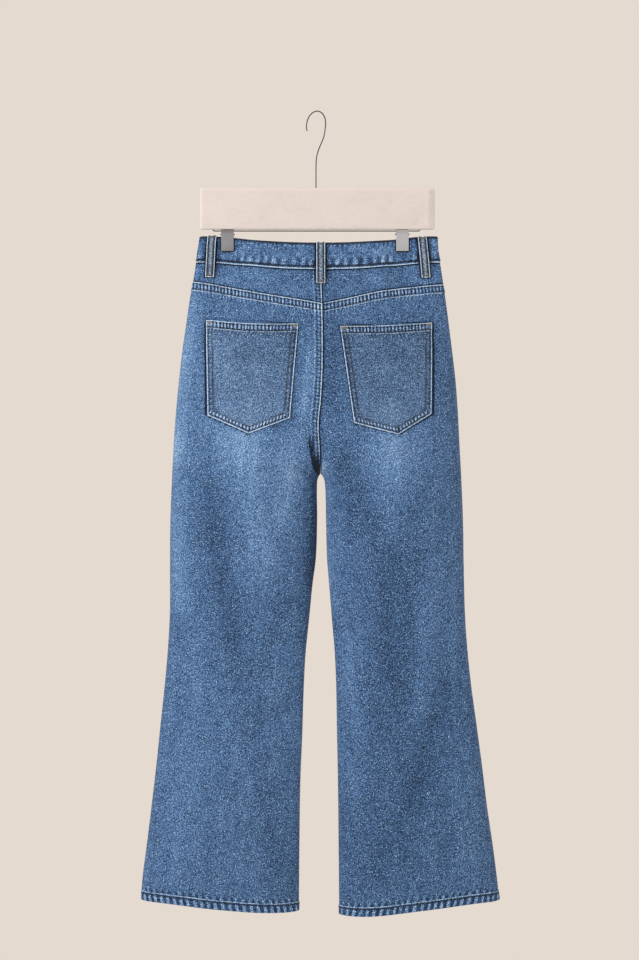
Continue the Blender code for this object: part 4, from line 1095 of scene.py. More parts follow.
def hem_form(side, share, drop, run, paint, lift):
    """Turns up the foot of a leg: its lift, roping, painted wear and painted shade."""
    up = hem_drop(side, share) - drop
    along = share * run
    on = up < HEM_DEPTH + 12
    rope = Puckers(along, up, 0.3, 10.6, 10.2, -0.22, 31 + side)
    ticks = Puckers(along, up, 13.5, 19.5, 10.2, -0.22, 31 + side)
    pucker = bpy.context.scene.jeans_cloth.pucker
    turned = (HEM_RISE * (1 - ease((up - HEM_DEPTH) / 1.0)) + round_off(up, 0.9)
              + groove(up, 11.4, 0.4, 0.9) + pucker * (rope.height - 0.5 * rope.size)
              + 0.4 * pucker * ticks.height)
    paint.ribs(rope, 0.58, on)
    paint.ribs(ticks, 0.44, on & (up > 14.2))
    dots = 0.68 + 0.32 * noise(along / 2.3, 0.5, 33 + side)
    paint.tone -= 0.03 * (on & (up < HEM_DEPTH))
    # Painted shade in the furrow of the hem's stitches and just above the hem's top edge.
    paint.line(-0.52 * dots * on, up, 11.1, 1.1)
    paint.line(-0.10 * on, up, 16.4, 2.4)
    paint.worn(np.minimum(np.abs(up - 13.6) + 1.0, up + 1.2), on)
    return np.where(on, turned, lift)


def felled_strip(over, drops, paint, lift, fade):
    """The lapped centre seam on the left pieces: its raised band, ribs, worn edge and painted
    shade in its stitch furrows.
    """
    strip = over < FELL_WIDTH + 1.2
    seat = Puckers(drops, over, 1.0, 9.5, 5.6, 0.2, 17)
    pucker = bpy.context.scene.jeans_cloth.pucker
    band = (felled(over) + groove(over, 2.4) + groove(over, 7.6)
            + 0.6 * pucker * (seat.height - 0.4 * seat.size)) * fade
    paint.ribs(seat, 0.26 * fade, strip)
    paint.worn(np.minimum(over, np.abs(over - 11.6) + 1.0), fade > 0.4)
    # A paler middle, and painted shade in the furrows of both rows of stitches.
    for tone, place, wide in ((0.08, 6, 5), (-0.40, 3.0, 0.9), (-0.36, 8.2, 0.9)):
        paint.line(tone * fade, over, place, wide)
    return np.maximum(lift, np.where(strip, band, -9.0))


# ---------------------------------------------------------------- the leg panels
def leg_rows(side, shares_at, first, steps):
    """The rows of a leg from its first level one to the hem, as pairs of drops and shares."""
    foot_shares, hem_shares = shares_at(LEG_FOOT), shares_at(HEM_LEVEL)
    hem = hem_drop(side, hem_shares)
    levels = np.concatenate((np.arange(first, SEAT_FOOT, steps[0]),
                             np.arange(SEAT_FOOT, LEG_FOOT, steps[1]), [LEG_FOOT]))
    rows = [(np.full(hem.shape, drop), shares_at(drop)) for drop in levels]
    rows += [(mix(LEG_FOOT, hem - HEM_ROWS[0], u), mix(foot_shares, hem_shares, u))
             for u in np.linspace(0, 1, 5)[1:-1]]
    return rows + [(hem - up, hem_shares) for up in HEM_ROWS]


def back_grid(side):
    """Drops and shares of a back panel's grid, from the yoke seam down to the hem."""
    run_at = cloth_face(side, BACK).run_at

    def shares_at(drop):
        return columns_at(run_at(drop), FELL_COLUMNS, SIDE_COLUMNS, 148)

    top_shares, level_shares = shares_at(YOKE_LEVEL), shares_at(BACK_LEVEL)
    seam = yoke_drop(side, top_shares) + HALF_GAP
    rows = [(seam + below, top_shares) for below in BAND_ROWS]
    rows += [(mix(seam + BAND_ROWS[-1], BACK_LEVEL, u), mix(top_shares, level_shares, u))
             for u in np.linspace(0, 1, 9)[1:]]
    rows += leg_rows(side, shares_at, BACK_LEVEL + BACK_STEPS[0], BACK_STEPS)
    drops, shares = (np.array(column) for column in zip(*rows))
    return drops, shares, seam


def back_panel(side):
    """A back leg with its yoke seam, its half of the centre seam and its hem."""
    face = cloth_face(side, BACK)
    drops, shares, seam = back_grid(side)
    base, out, x = face.frame_at(drops, shares)
    run = face.run_at(drops)
    below, over = drops - seam, shares * run
    pucker = bpy.context.scene.jeans_cloth.pucker
    paint = Paint(drops.shape)

    ribs = Puckers(over, below, 1.2, 11.0, 5.3, 0.0, 11 + side)
    ticks = Puckers(over, below, 12.5, 18.0, 5.3, 0.35, 11 + side)
    lift = np.where(below < FELL_WIDTH + 1.2, felled(below) + groove(below, 2.2)
                    + groove(below, 11.0) + pucker * (ribs.height - 0.45 * ribs.size), 0.0)
    stronger = (0.76 + 0.12 * bell(over / 90)) * (0.84 + 0.16 * noise(over / 17, 0.5, 13 + side))
    paint.ribs(ribs, stronger)
    paint.ribs(ticks, 0.26, below > 12)
    # Painted shade in the furrows of both rows of stitches below the yoke seam.
    paint.line(-0.34, below, 2.7, 0.9)
    paint.line(-0.40, below, 10.4, 1.0)
    paint.worn(np.minimum(below, np.abs(below - 12.6) + 0.9))
    on_seat = drops < CROTCH_DROP
    if side == LEFT:
        fade = 1 - ease((drops - CROTCH_DROP + 27) / 25)
        lift = felled_strip(over, drops, paint, lift, fade)
        # Painted shade of the hollow at the crotch, with a painted crevice where the left leg's
        # cloth rolls over it.
        roll = read_table(LEG_ROLL, "x", drops) - x
        inside = (roll > 0) & (drops > LEG_ROLL[0].drop) & (drops < LEG_ROLL[-1].drop)
        past_band = np.maximum(ease((over - 8) / 3), ease((drops - 507) / 20))
        paint.close(roll, inside & (past_band > 0.5))
        paint.tone -= 0.62 * inside * past_band * ease((drops - 480) / 26) * ease(roll / 2)
        paint.line(0.14 * bell((over - 6) / 5), below, 6, 5)
    else:
        # Painted shadow of the left panel's lap along the centre seam.
        paint.close(over, on_seat)
        paint.line(-0.24 * on_seat, over, 1.2, 1.3)
    lift = hem_form(side, shares, drops, run, paint, lift)
    # Painted shade in the crevices round the pocket and the loops.
    paint.close(near_pieces(side, BACK, x, drops))
    paint.tone += leg_tone(side, BACK, x, drops)
    paint.line(-0.06, (1 - shares) * run, 0, 2.0)
    name = f"back_{NAMES[side]}"
    ob = cloth_piece(name, raised(base, out, lift),
                     base - DENIM * out, drops, (1 - shares) * run + BOLT_STEP * (2 + side), paint)

    for colour, row in YOKE_ROWS.items():
        sew = Sewing(ob)
        sew.row(*face.path(yoke_drop(side, ALONG) + row, ALONG), 0.6 * row)
        if side == LEFT and colour == "tonal":
            sew.seam(face, FELL_ROWS, np.arange(292.0, 528.0, 2.0))
        sew.make(f"stitching_{name}_{colour}", colour)
    hem_stitches(ob, face, name)


def hem_stitches(ob, face, name):
    """The row that holds the turned up hem."""
    sew = Sewing(ob)
    sew.row(*face.path(hem_drop(face.side, ALONG) - HEM_ROW, ALONG))
    sew.make(f"stitching_hem_{name}", "dark", 1.9 * sew.sizes.radius)


def yoke(side):
    """Half of the V below the waistband."""
    face = cloth_face(side, BACK)
    shares = columns_at(face.run_at(YOKE_LEVEL), FELL_COLUMNS, SIDE_COLUMNS, 104)
    top = face.waist_drop(shares, "seam") + HALF_GAP
    low = yoke_drop(side, shares) - HALF_GAP
    steps = np.concatenate((np.linspace(0, 0.12, 8), np.linspace(0.12, 0.86, 22)[1:],
                            np.linspace(0.86, 1, 9)[1:]))
    drops = mix(top[None], low[None], steps[:, None])
    shares = np.broadcast_to(shares, drops.shape)
    base, out, x = face.frame_at(drops, shares)
    over = shares * face.run_at(drops)
    from_top, to_low = drops - top, low - drops
    lift = np.zeros(drops.shape)
    paint = Paint(drops.shape)
    if side == LEFT:
        lift = felled_strip(over, drops, paint, lift, 1.0)
    else:
        # Painted shadow of the left yoke's lap along the centre seam.
        paint.close(over)
    # Painted shade along both edges, under the waistband and above the back panel's lap, and round
    # the loops.
    paint.close(np.minimum(from_top, to_low))
    paint.close(near_pieces(side, BACK, x, drops))
    paint.tone += 0.025 + 0.05 * noise(x / 21, drops / 15, 51) + leg_tone(side, BACK, x, drops)
    paint.line(-0.05, over, 13, 12)
    # Painted shadow under the waistband, and painted shadow beside the centre belt loop.
    paint.line(-0.50, from_top, 0, 1.5)
    paint.line(-0.28 * bell((over - 9) / 6), drops, 235, 17)
    name = f"yoke_{NAMES[side]}"
    ob = cloth_piece(name, raised(base, out, lift), base - DENIM * out,
                     drops, over, paint)
    if side == LEFT:
        sew = Sewing(ob)
        sew.seam(face, FELL_ROWS, np.arange(240.0, 288.0, 1.5))
        sew.make(f"stitching_{name}", "tonal")


WAIST_PART = 0.42  # share of a front panel's columns that reach the waist, not the scoop


def front_edge(side, shares):
    """Share and drop of the front panel's top edge: along the waist, then down the scoop."""
    face = cloth_face(side, FRONT)
    on_waist = shares <= WAIST_PART
    turn = math.pi / 2 * np.clip((shares - WAIST_PART) / (1 - WAIST_PART), 0, 1)
    top_share = np.where(on_waist, MOUTH_SHARE * shares / WAIST_PART,
                         mix(MOUTH_SHARE, 1.0, 1 - np.cos(turn)))
    waist = face.waist_drop(np.minimum(top_share, MOUTH_SHARE), "seam") + HALF_GAP
    return top_share, np.where(on_waist, waist, mix(waist, MOUTH_SIDE_DROP, np.sin(turn)))


def front_panel(side):
    """A front leg with its scooped pocket mouth and its hem."""
    face = cloth_face(side, FRONT)

    def shares_at(drop):
        return columns_at(face.run_at(drop), FRONT_COLUMNS, SIDE_COLUMNS, 96)

    level = shares_at(FRONT_LEVEL)
    top_share, top_drop = front_edge(side, level)
    tall = FRONT_LEVEL - top_drop.min()
    rows = [(mix(top_drop, FRONT_LEVEL, d / tall), mix(top_share, level, d / tall))
            for d in FRONT_TOP_ROWS]
    rows += leg_rows(side, shares_at, FRONT_LEVEL, FRONT_STEPS)
    drops, shares = (np.array(column) for column in zip(*rows))
    base, out, x = face.frame_at(drops, shares)
    run = face.run_at(drops)
    over = shares * run
    # how far a place is below the top edge, straight down in the panel's own grid
    place = np.stack((over, drops), -1)
    below = np.concatenate((np.zeros((1,) + drops.shape[1:]),
                            np.cumsum(np.linalg.norm(np.diff(place, axis=0), axis=-1), axis=0)))
    scoop = ease((level - WAIST_PART) / 0.04)[None]
    pucker = bpy.context.scene.jeans_cloth.pucker
    paint = Paint(drops.shape)
    ribs = Puckers(over + drops, below, 2.2, 7.2, 6.0, 0.0, 23 + side)
    lift = scoop * (round_off(below, 0.6) + groove(below, 1.8, 0.2) + groove(below, 7.6, 0.2)
                    + 0.5 * pucker * ribs.height * (below < 11))
    paint.ribs(ribs, 0.40 * scoop, below < 10)
    paint.worn(below, scoop > 0.5)
    lift = hem_form(side, shares, drops, run, paint, lift)
    # Painted shade in crevices: beside the fly and the loops, under the waistband and along the
    # centre seam.
    paint.close(near_pieces(side, FRONT, x, drops))
    paint.close(below, scoop < 0.5)
    paint.close(over, drops < CROTCH_DROP)
    paint.tone += leg_tone(side, FRONT, x, drops)
    paint.line(0.06 * (drops > CROTCH_DROP), over, 0, 1.4)
    # Painted shade in the furrows of both rows of stitches along the scoop.
    for place in (2.0, 7.8):
        paint.line(-0.14 * scoop, below, place, 0.9)
    name = f"front_{NAMES[side]}"
    ob = cloth_piece(name, raised(base, out, lift), base - DENIM * out,
                     drops, (1 - shares) * run + BOLT_STEP * (6 + side), paint)

    sew = Sewing(ob)
    along = np.linspace(WAIST_PART + 0.01, 0.985, 120)
    edge_share, edge_drop = front_edge(side, along)
    for row in SCOOP_ROWS:
        u = row / (FRONT_LEVEL - edge_drop)
        sew.row(*face.path(mix(edge_drop, FRONT_LEVEL, u), mix(edge_share, along, u)))
    if side == LEFT:
        sew.seam(face, FRONT_ROWS, np.arange(400.0, 536.0, 2.0))
    sew.make(f"stitching_{name}", "tonal")
    hem_stitches(ob, face, name)


def pocket_facing(side):
    """The denim that shows inside a front pocket's mouth."""
    face = cloth_face(side, FRONT)
    u = 1 - (1 - np.linspace(0, 1, 44)) ** 1.7
    shares = mix(MOUTH_SHARE - 0.07, 1.0, u)
    top = face.waist_drop(shares, "seam") + HALF_GAP
    steps = np.linspace(0, 1, 40)[:, None]
    drops = mix(top[None], MOUTH_SIDE_DROP + FACING_LAP, steps)
    shares = np.broadcast_to(shares, drops.shape)
    base, out, x = face.frame_at(drops, shares)
    depth = DENIM + FACING_GAP
    paint = Paint(drops.shape)
    paint.tone += 0.05 * noise(x / 18, drops / 22, 61)
    # Painted shade under the waistband.
    paint.close(drops - top)
    name = f"pocket_facing_{NAMES[side]}"
    cloth_piece(name, base - depth * out,
                base - (depth + FACING_WALL) * out, drops, shares * face.run_at(drops), paint)


def fly():
    """The lapped front edge with its curved foot."""
    u = np.concatenate(([0, 0.006, 0.016, 0.03, 0.045], np.linspace(0.06, 0.94, 26),
                        [0.955, 0.97, 0.984, 0.994, 1.0]))
    v = np.concatenate((np.linspace(0, 0.94, 58), [0.955, 0.967, 0.978, 0.987, 0.994, 1.0]))
    x = CENTRE_X - FLY_LAP + u * (FLY_LAP + FLY_WIDTH)
    top = band_edge(FRONT, x - CENTRE_X, "seam") + HALF_GAP
    foot = FLY_DROP - FLY_TURN * (1 - np.sqrt(np.clip(1 - u ** 2.4, 0, 1)))
    drops = mix(top[None], foot[None], v[:, None])
    x = np.broadcast_to(x, drops.shape)
    base, out = np.zeros(drops.shape + (3,)), np.zeros(drops.shape + (3,))
    for side in (LEFT, RIGHT):
        here = (x >= CENTRE_X) == (side == LEFT)
        face = cloth_face(side, FRONT)
        share = face.share_at(drops[here], x[here])
        base[here], out[here], _ = face.frame_at(drops[here], share)
    to_edge = np.minimum(np.minimum(u * 43, (1 - u) * 43)[None], (foot[None] - drops) * 0.8)
    ribs = Puckers(drops, to_edge, 2.4, 7.2, 5.8, 0.0, 71)
    lift = (round_off(to_edge, 0.5) + groove(to_edge, 2.0, 0.2) + groove(to_edge, 7.5, 0.2)
            + 0.15 * ribs.height)
    paint = Paint(drops.shape)
    paint.ribs(ribs, 0.3)
    paint.worn(to_edge)
    # Painted shade under the waistband and in the furrows of both rows of stitches.
    paint.close(drops - top)
    paint.tone += 0.02
    for place in (2.1, 7.6):
        paint.line(-0.14, to_edge, place, 0.9)
    ob = cloth_piece("fly", raised(base, out, LAY_GAP + FLY_WALL + lift),
                     base + LAY_GAP * out, drops, x, paint)

    sew = Sewing(ob)
    for inset in (2.0, 7.5):
        wide, tall = FLY_WIDTH - inset, FLY_DROP - inset
        turn = np.linspace(0, 1, 60)
        xs = np.concatenate((np.full(60, CENTRE_X + wide),
                             CENTRE_X + wide * np.cos(turn * math.pi / 2)[1:]))
        ds = np.concatenate((np.linspace(248, tall - FLY_TURN, 60),
                             tall - FLY_TURN + FLY_TURN * np.sin(turn * math.pi / 2)[1:]))
        face = cloth_face(LEFT, FRONT)
        sew.row(*face.path(ds, face.share_at(ds, xs)))
    sew.make("stitching_fly", "tonal")


# ---------------------------------------------------------------- waistband and loops
def band_stations():
    """(side, face, share, lift) close together round the waist, from end to end of the lap."""
    run = float(cloth_face(LEFT, FRONT).run_at(BAND_LEVEL))
    over = BAND_WALL + SEAM_GAP  # how far out the lap lies
    step = 1.6

    def spread(side, face, first, last, lift=0.0):
        long = float(cloth_face(side, face).run_at(BAND_LEVEL)) * abs(last - first)
        shares = np.linspace(first, last, max(2, int(long / step)))
        return [(side, face, share, lift) for share in shares]

    past = (BAND_UNDER + BAND_RAMP) / run
    stations = spread(LEFT, FRONT, BAND_UNDER / run, 7.0 / run)
    stations += spread(RIGHT, FRONT, 0, 1)
    stations += spread(RIGHT, BACK, 1, 0)[1:]
    stations += spread(LEFT, BACK, 0, 1)[1:]
    stations += spread(LEFT, FRONT, 1, past)[1:]
    stations += [(side, face, share, over * float(ease((past - share) * run / (BAND_RAMP - 2))))
                 for side, face, share, _ in spread(LEFT, FRONT, past, BAND_UNDER / run)[1:]]
    stations += spread(LEFT, FRONT, BAND_UNDER / run, 0, over)[1:]
    stations += spread(RIGHT, FRONT, 0, BAND_OVER / run, over)[1:]
    return stations


def waistband():
    """One loop of doubled cloth that laps over itself at the centre front."""
    stations = band_stations()
    v = np.array(BAND_STEPS) / BAND_STEPS[-1]
    sides, faces, share, lap = (np.array(column) for column in zip(*stations))
    shape = (len(v), len(stations))
    base, out = np.zeros(shape + (3,)), np.zeros(shape + (3,))
    drops, tops = np.zeros(shape), np.zeros(len(stations))
    for side in (LEFT, RIGHT):
        for face_name in (BACK, FRONT):
            here = (sides == side) & (faces == face_name)
            face = cloth_face(side, face_name)
            top = face.waist_drop(share[here], "top")
            low = face.waist_drop(share[here], "seam") - HALF_GAP
            drops[:, here] = mix(top[None], low[None], v[:, None])
            tops[here] = top
            across = np.broadcast_to(share[here], drops[:, here].shape)
            base[:, here], out[:, here], _ = face.frame_at(drops[:, here], across)
    middle = base[len(v) // 2]
    along = np.concatenate(([0], np.cumsum(np.linalg.norm(np.diff(middle, axis=0), axis=-1))))
    along = np.broadcast_to(along, shape)
    from_top = drops - tops
    from_low = (1 - v[:, None]) * BAND_STEPS[-1]
    clip = np.zeros(len(stations))
    for x in CLIP_X.values():
        clip = np.maximum(clip, np.exp(-((middle[:, 0] - x) / 13.5) ** 8))
    free = 1 - clip[None]
    blotch = Puckers(along, from_low, 4.5, 15.5, 13.0, 0.1, 41)
    fine = Puckers(along, from_top, 3.5, 9.0, 7.0, -0.3, 43)
    soft = noise(along / 27, from_top / 13, 45)
    pucker = bpy.context.scene.jeans_cloth.pucker
    lift = (round_off(from_top, 1.3) + round_off(from_low, 0.7)
            + groove(from_top, 3.0, 0.25) + groove(from_low, 3.0, 0.3)
            + free * (pucker * (1.3 * blotch.height - 0.6 * blotch.size)
                      + pucker * 0.7 * fine.height + 0.22 * soft))
    paint = Paint(shape)
    paint.ribs(blotch, 0.50 * free * (0.8 + 0.2 * noise(along / 40, 1.5, 49)))
    paint.tone -= 0.12 * blotch.size * free
    paint.ribs(fine, 0.20 * free)
    paint.tone += (0.05 + 0.04 * soft + 0.06 * noise(along / 9, from_top / 5, 47)
                   + 0.07 * noise((along + 1.3 * from_top) / 4.5, (along - from_top) / 22, 48))
    dots = 0.7 + 0.3 * noise(along / 2.1, 0.5, 50)
    paint.line(0.09 * free, from_low, 9, 7)
    # Painted shade in the furrows of both rows of stitches, and darker along the top edge.
    paint.line(-0.95 * dots, from_low, 4.1, 1.3)
    paint.line(-0.62 * dots, from_top, 1.0, 2.0)
    paint.line(-0.10, from_top, 3.2, 0.9)
    paint.worn(from_low)
    places = np.stack((base[..., 0], drops), -1)
    # Painted shadows beside the belt loops, deepest near the band's seam.
    shade = 0.12 + 0.16 * bell((drops - 230) / 9)
    for loop in BELT_LOOPS:
        for ends in loop_sides(loop):
            away = near_line(places, *ends)
            paint.close(0.6 * away, faces == loop.face)
            paint.line(-shade * (faces == loop.face), away, 0, 5.5)
    # Painted shadow round each clip on the back of the band.
    for x in CLIP_X.values():
        over = np.abs(base[..., 0] - x) - CLIP_WIDE / 2
        paint.close(0.8 * np.abs(over), (drops < CLIP_FOOT) & (faces == BACK))
        paint.close(0.8 * np.abs(drops - CLIP_FOOT), (over < 0) & (faces == BACK))
    ob = cloth_piece("waistband",
                     raised(base, out, lap + BAND_PROUD + lift),
                     raised(base, out, np.broadcast_to(lap + BAND_PROUD - BAND_WALL, shape)),
                     along, from_top, paint)

    sew = Sewing(ob)
    middle_out = out[len(v) // 2]
    hidden = 20  # stations that lie below the lap
    for level in (tops + 2.6, drops[-1] - 4.2):
        path = np.stack([[np.interp(level[j], drops[:, j], base[:, j, k]) for k in range(3)]
                         for j in range(len(stations))])
        path = raised(path, middle_out, lap + BAND_PROUD)
        sew.row(path[hidden:-2], middle_out[hidden:-2])
    sew.make("stitching_waistband", "dark", 2.0 * sew.sizes.radius)


def loop_base(face_name, x, drop):
    """How far out the cloth below a belt loop stands."""
    side = LEFT if x >= centre_x(face_name, drop) else RIGHT
    face = cloth_face(side, face_name)
    share = face.share_at(drop, x)
    on_fell = face_name == BACK and abs(x - centre_x(face_name, drop)) < FELL_WIDTH
    return abs(float(face.path(drop, share)[0][..., 1])) + (FELL_RISE if on_fell else 0.0)


def belt_loop(loop):
    """A folded strip with two rows of stitches, sewn down with bar tacks at both ends."""
    v = np.concatenate(([0, 0.004, 0.01, 0.018], np.linspace(0.03, 0.97, 56),
                        [0.982, 0.99, 0.996, 1.0]))
    half = LOOP_WIDTH / 2
    u = np.array([-1, -0.97, -0.92, -0.85, -0.74, -0.6, -0.4, -0.2, 0, 0.2, 0.4, 0.6, 0.74, 0.85,
                  0.92, 0.97, 1.0])
    drops = mix(loop.top_drop, loop.foot_drop, v)
    middle = mix(loop.top_x, loop.foot_x, v)
    rise = read_table(LOOP_RISE, "rise", v)
    depth = np.array([max(loop_base(loop.face, x + k * half, d) for k in (-1, 0, 1))
                      for x, d in zip(middle, drops)])
    long = loop.foot_drop - loop.top_drop
    to_side = (1 - np.abs(u))[None] * half
    to_end = (np.minimum(v, 1 - v) * long)[:, None]
    seed = 80 + 7 * len(loop.name) + abs(int(loop.top_x))
    ribs = Puckers(drops[:, None], to_side, 1.6, 3.6, 4.6, 0.0, seed)
    lift = (round_off(to_side, 0.6) + round_off(to_end, 0.7) + groove(to_side, 2.7, 0.26, 0.7)
            + 0.18 * ribs.height)
    ramp = (depth + rise)[:, None]
    x = middle[:, None] + u[None] * half
    waver = 0.25 * noise(drops / 9, 0.5, seed + 1)[:, None]
    y_out, y_in = ramp + LOOP_WALL + lift, np.broadcast_to(ramp, lift.shape)
    down = np.broadcast_to(drops[:, None], lift.shape)
    outer = np.stack((x + waver, loop.face * y_out, -down), -1)
    inner = np.stack((x + waver, loop.face * y_in, -down), -1)
    paint = Paint(lift.shape)
    paint.ribs(ribs, 0.22)
    paint.worn(1.45 * np.minimum(to_side, to_end))
    paint.tone += 0.05 * noise(x / 3, drops[:, None] / 6, seed)
    # Painted shade in the furrows of the stitches, paler in the middle and at the sides.
    for tone, place, wide in ((-0.66, 2.6, 0.9), (0.16, 6.5, 2.6), (0.20, 0, 0.9)):
        paint.line(tone, to_side, place, wide)
    weft = np.broadcast_to(u[None] * half + loop.top_x, lift.shape)
    ob = cloth_piece(loop.name, outer, inner, down, weft, paint,
                     denim("loop_twill", grey=0.6))

    out = np.array([0.0, float(loop.face), 0.0])
    y_middle = y_out[:, len(u) // 2]
    inset = half - 2.7
    sew = Sewing(ob, reach=30.0)
    for k in (-1, 1):
        path = np.stack((middle + k * inset, loop.face * y_middle, -drops), -1)[3:-3]
        sew.row(path, np.repeat(out[None], len(path), 0), 0.8)
    name = loop.name.replace("belt_", "")
    sew.make(f"stitching_{name}", "dark")
    tacks = Sewing(ob, reach=30.0)
    for place in (0.045, 0.955):
        at = np.array([mix(loop.top_x, loop.foot_x, place),
                       loop.face * float(np.interp(place, v, y_middle)),
                       -mix(loop.top_drop, loop.foot_drop, place)])
        reach = np.array([half - 1.4, 0, 0])
        tacks.tack(at - reach, at + reach, out, 2.6)
    tacks.make(f"bar_tacks_{name}", "grey", TACK_RADIUS)


# ---------------------------------------------------------------- back pockets
POCKET_EDGE = np.array([0, 0.3, 0.7, 1.2, 1.8, 2.5, 3.4, 4.6, 5.8, 7.0, 8.4, 10])
POCKET_MOUTH = np.array([0, 0.25, 0.6, 1.1, 1.7, 2.4, 3.3, 4.4, 5.6, 6.8, 8, 9.2, 10.2, 11, 11.7,
                         12.3, 12.9, 13.7, 15, 17])
# How much paler the wash leaves a pocket towards its outer top corner, and all over.
POCKET_WASH = {LEFT: (0.12, 0.03), RIGHT: (0.05, -0.005)}


def pocket_point(patch):
    """The share across a back pocket at which its foot is lowest."""
    return (patch.point_x - patch.low_in_x) / (patch.low_out_x - patch.low_in_x)


def pocket_place(patch, u, v):
    """x and drop at shares across and down a back pocket."""
    point_u = pocket_point(patch)
    top = mix(patch.in_drop, patch.out_drop, u) + patch.sag * np.sin(math.pi * u)
    low = np.where(u <= point_u, mix(patch.low_in_drop, patch.point_drop, u / point_u),
                   mix(patch.point_drop, patch.low_out_drop, (u - point_u) / (1 - point_u)))
    x = mix(mix(patch.in_x, patch.low_in_x, v), mix(patch.out_x, patch.low_out_x, v), u)
    return x, mix(top, low, v)


def back_pocket(patch):
    """A five cornered patch with a hemmed mouth, two rows of stitches and bar tacks."""
    face = cloth_face(patch.side, BACK)
    wide = abs(patch.out_x - patch.in_x)
    tall = patch.low_in_drop - patch.in_drop
    point_u, edge = pocket_point(patch), POCKET_EDGE[-1]
    inner_u = np.linspace(edge / wide, 1 - edge / wide, 74)
    inner_u[np.argmin(np.abs(inner_u - point_u))] = point_u
    across = np.concatenate((POCKET_EDGE / wide, inner_u[1:-1], 1 - POCKET_EDGE[::-1] / wide))
    inner_v = np.linspace(POCKET_MOUTH[-1] / tall, 1 - edge / tall, 44)
    down = np.concatenate((POCKET_MOUTH / tall, inner_v[1:-1], 1 - POCKET_EDGE[::-1] / tall))
    u, v = np.meshgrid(across, down)
    x, drops = pocket_place(patch, u, v)
    shares = face.share_at(drops, x)
    base, out, _ = face.frame_at(drops, shares)
    points = np.stack((x, drops), -1)
    corners = patch_corners(patch)
    sides = [near_line(points, a, b) for a, b in zip(corners[1:], corners[2:] + corners[:1])]
    to_edge = np.minimum.reduce(sides)
    from_mouth = drops - pocket_place(patch, u, np.zeros(v.shape))[1]
    low_edge = np.minimum(sides[1], sides[2])
    run = u * wide
    seed = 91 + patch.side
    ribs = Puckers(run, from_mouth, 1.5, 10.0, 5.2, 0.0, seed)
    ticks = Puckers(run, from_mouth, 12.0, 18.5, 5.2, -0.5, seed)
    rope = Puckers(run, low_edge, 3.6, 8.6, 5.6, 0.3, seed + 1)
    flank = Puckers(drops, to_edge, 3.6, 8.6, 7.5, 0.0, seed + 2)
    pucker = bpy.context.scene.jeans_cloth.pucker
    on_mouth = from_mouth < MOUTH_HEM + 1.0
    mouth_lift = MOUTH_RISE * (1 - ease((from_mouth - MOUTH_HEM) / 0.9))
    pouch = 1.1 * ease(to_edge / 26) * ease((from_mouth - 6) / 30) + 0.35 * noise(
        run / 34, drops / 30, seed + 3) * ease(to_edge / 20)
    lift = (mouth_lift + round_off(from_mouth, 0.8) + round_off(to_edge, 0.7)
            + groove(to_edge, 3.0, 0.26) + groove(to_edge, 9.0, 0.2)
            + on_mouth * (groove(from_mouth, 2.2, 0.24) + groove(from_mouth, 10.6, 0.24)
                          + pucker * (ribs.height - 0.45 * ribs.size))
            + 0.6 * pucker * rope.height + 0.35 * pucker * flank.height + np.maximum(pouch, 0))
    paint = Paint(drops.shape)
    paint.ribs(ribs, 0.80 * (0.85 + 0.15 * noise(run / 13, 0.5, seed)), on_mouth & (to_edge > 8))
    paint.ribs(ticks, 0.26, (from_mouth > 12) & (to_edge > 8))
    paint.ribs(rope, 0.64, low_edge < 10)
    paint.ribs(flank, 0.16, (to_edge < 10) & (from_mouth > 12))
    paint.worn(np.minimum(to_edge, from_mouth + 0.3))
    paint.worn(np.abs(from_mouth - 12.2) + 1.0, to_edge > 3)
    slope, level = POCKET_WASH[patch.side]
    paint.tone += (level + slope * (u - 0.5) * (1 - v)
                   + 0.04 * noise(run / 26, drops / 30, seed + 4))
    # Painted shade in the furrows of the mouth's two rows of stitches, and a little darker below
    # its hem.
    for tone, place, breadth in ((-0.34, 2.9, 0.9), (-0.40, 10.2, 1.0), (-0.07, 15, 4)):
        paint.line(tone, from_mouth, place, breadth)
    paint.line(0.16 * bell(np.minimum(u, 1 - u) * wide / 9), from_mouth, 6, 5)
    # Painted shade in the furrows of the side and foot stitches.
    for place, breadth in ((3.3, 1.2), (9.0, 1.0)):
        paint.line(-0.32 * (from_mouth > 12), to_edge, place, breadth)
    paint.line(0.07, low_edge, 6, 3)
    paint.line(-0.40 * bell((x - patch.point_x) / 1.4), low_edge, 6, 3.2)
    paint.line(0.10 * bell((u - 0.5) / 0.34), v, 0.82, 0.2)
    name = f"back_pocket_{NAMES[patch.side]}"
    ob = cloth_piece(name,
                     raised(base, out, LAY_GAP + PATCH_WALL + lift), base + LAY_GAP * out,
                     drops, run, paint, denim("pocket_twill", grey=0.14))

    def line(u_path, v_path):
        xs, ds = pocket_place(patch, *np.broadcast_arrays(u_path, v_path))
        return face.path(ds, face.share_at(ds, xs))

    steps = np.linspace(0, 1, 90)
    for title, colour, inset, mouth_row in (("", "dark", 3.0, 2.4), ("inner_", "grey", 9.0, 10.6)):
        sew = Sewing(ob)
        a, b, top = inset / wide, inset / tall, 2.5 / tall
        sew.row(*line(a, mix(top, 1 - b, steps)))
        sew.row(*line(mix(a, 1 - a, steps), 1 - b))
        sew.row(*line(1 - a, mix(1 - b, top, steps)))
        sew.row(*line(mix(0.03, 0.97, steps), mouth_row / tall))
        sew.make(f"stitching_{title}{name}", colour)
    tacks = Sewing(ob)
    for end in (0.0, 1.0):
        step = 8.5 / wide * (1 - 2 * end)
        ends, outs = line(np.array([end + 0.18 * step, end + step]), np.array([3.0, 3.4]) / tall)
        tacks.tack(ends[0], ends[1], outs[0], 3.0)
    tacks.make(f"bar_tacks_{name}", "tan", TACK_RADIUS)


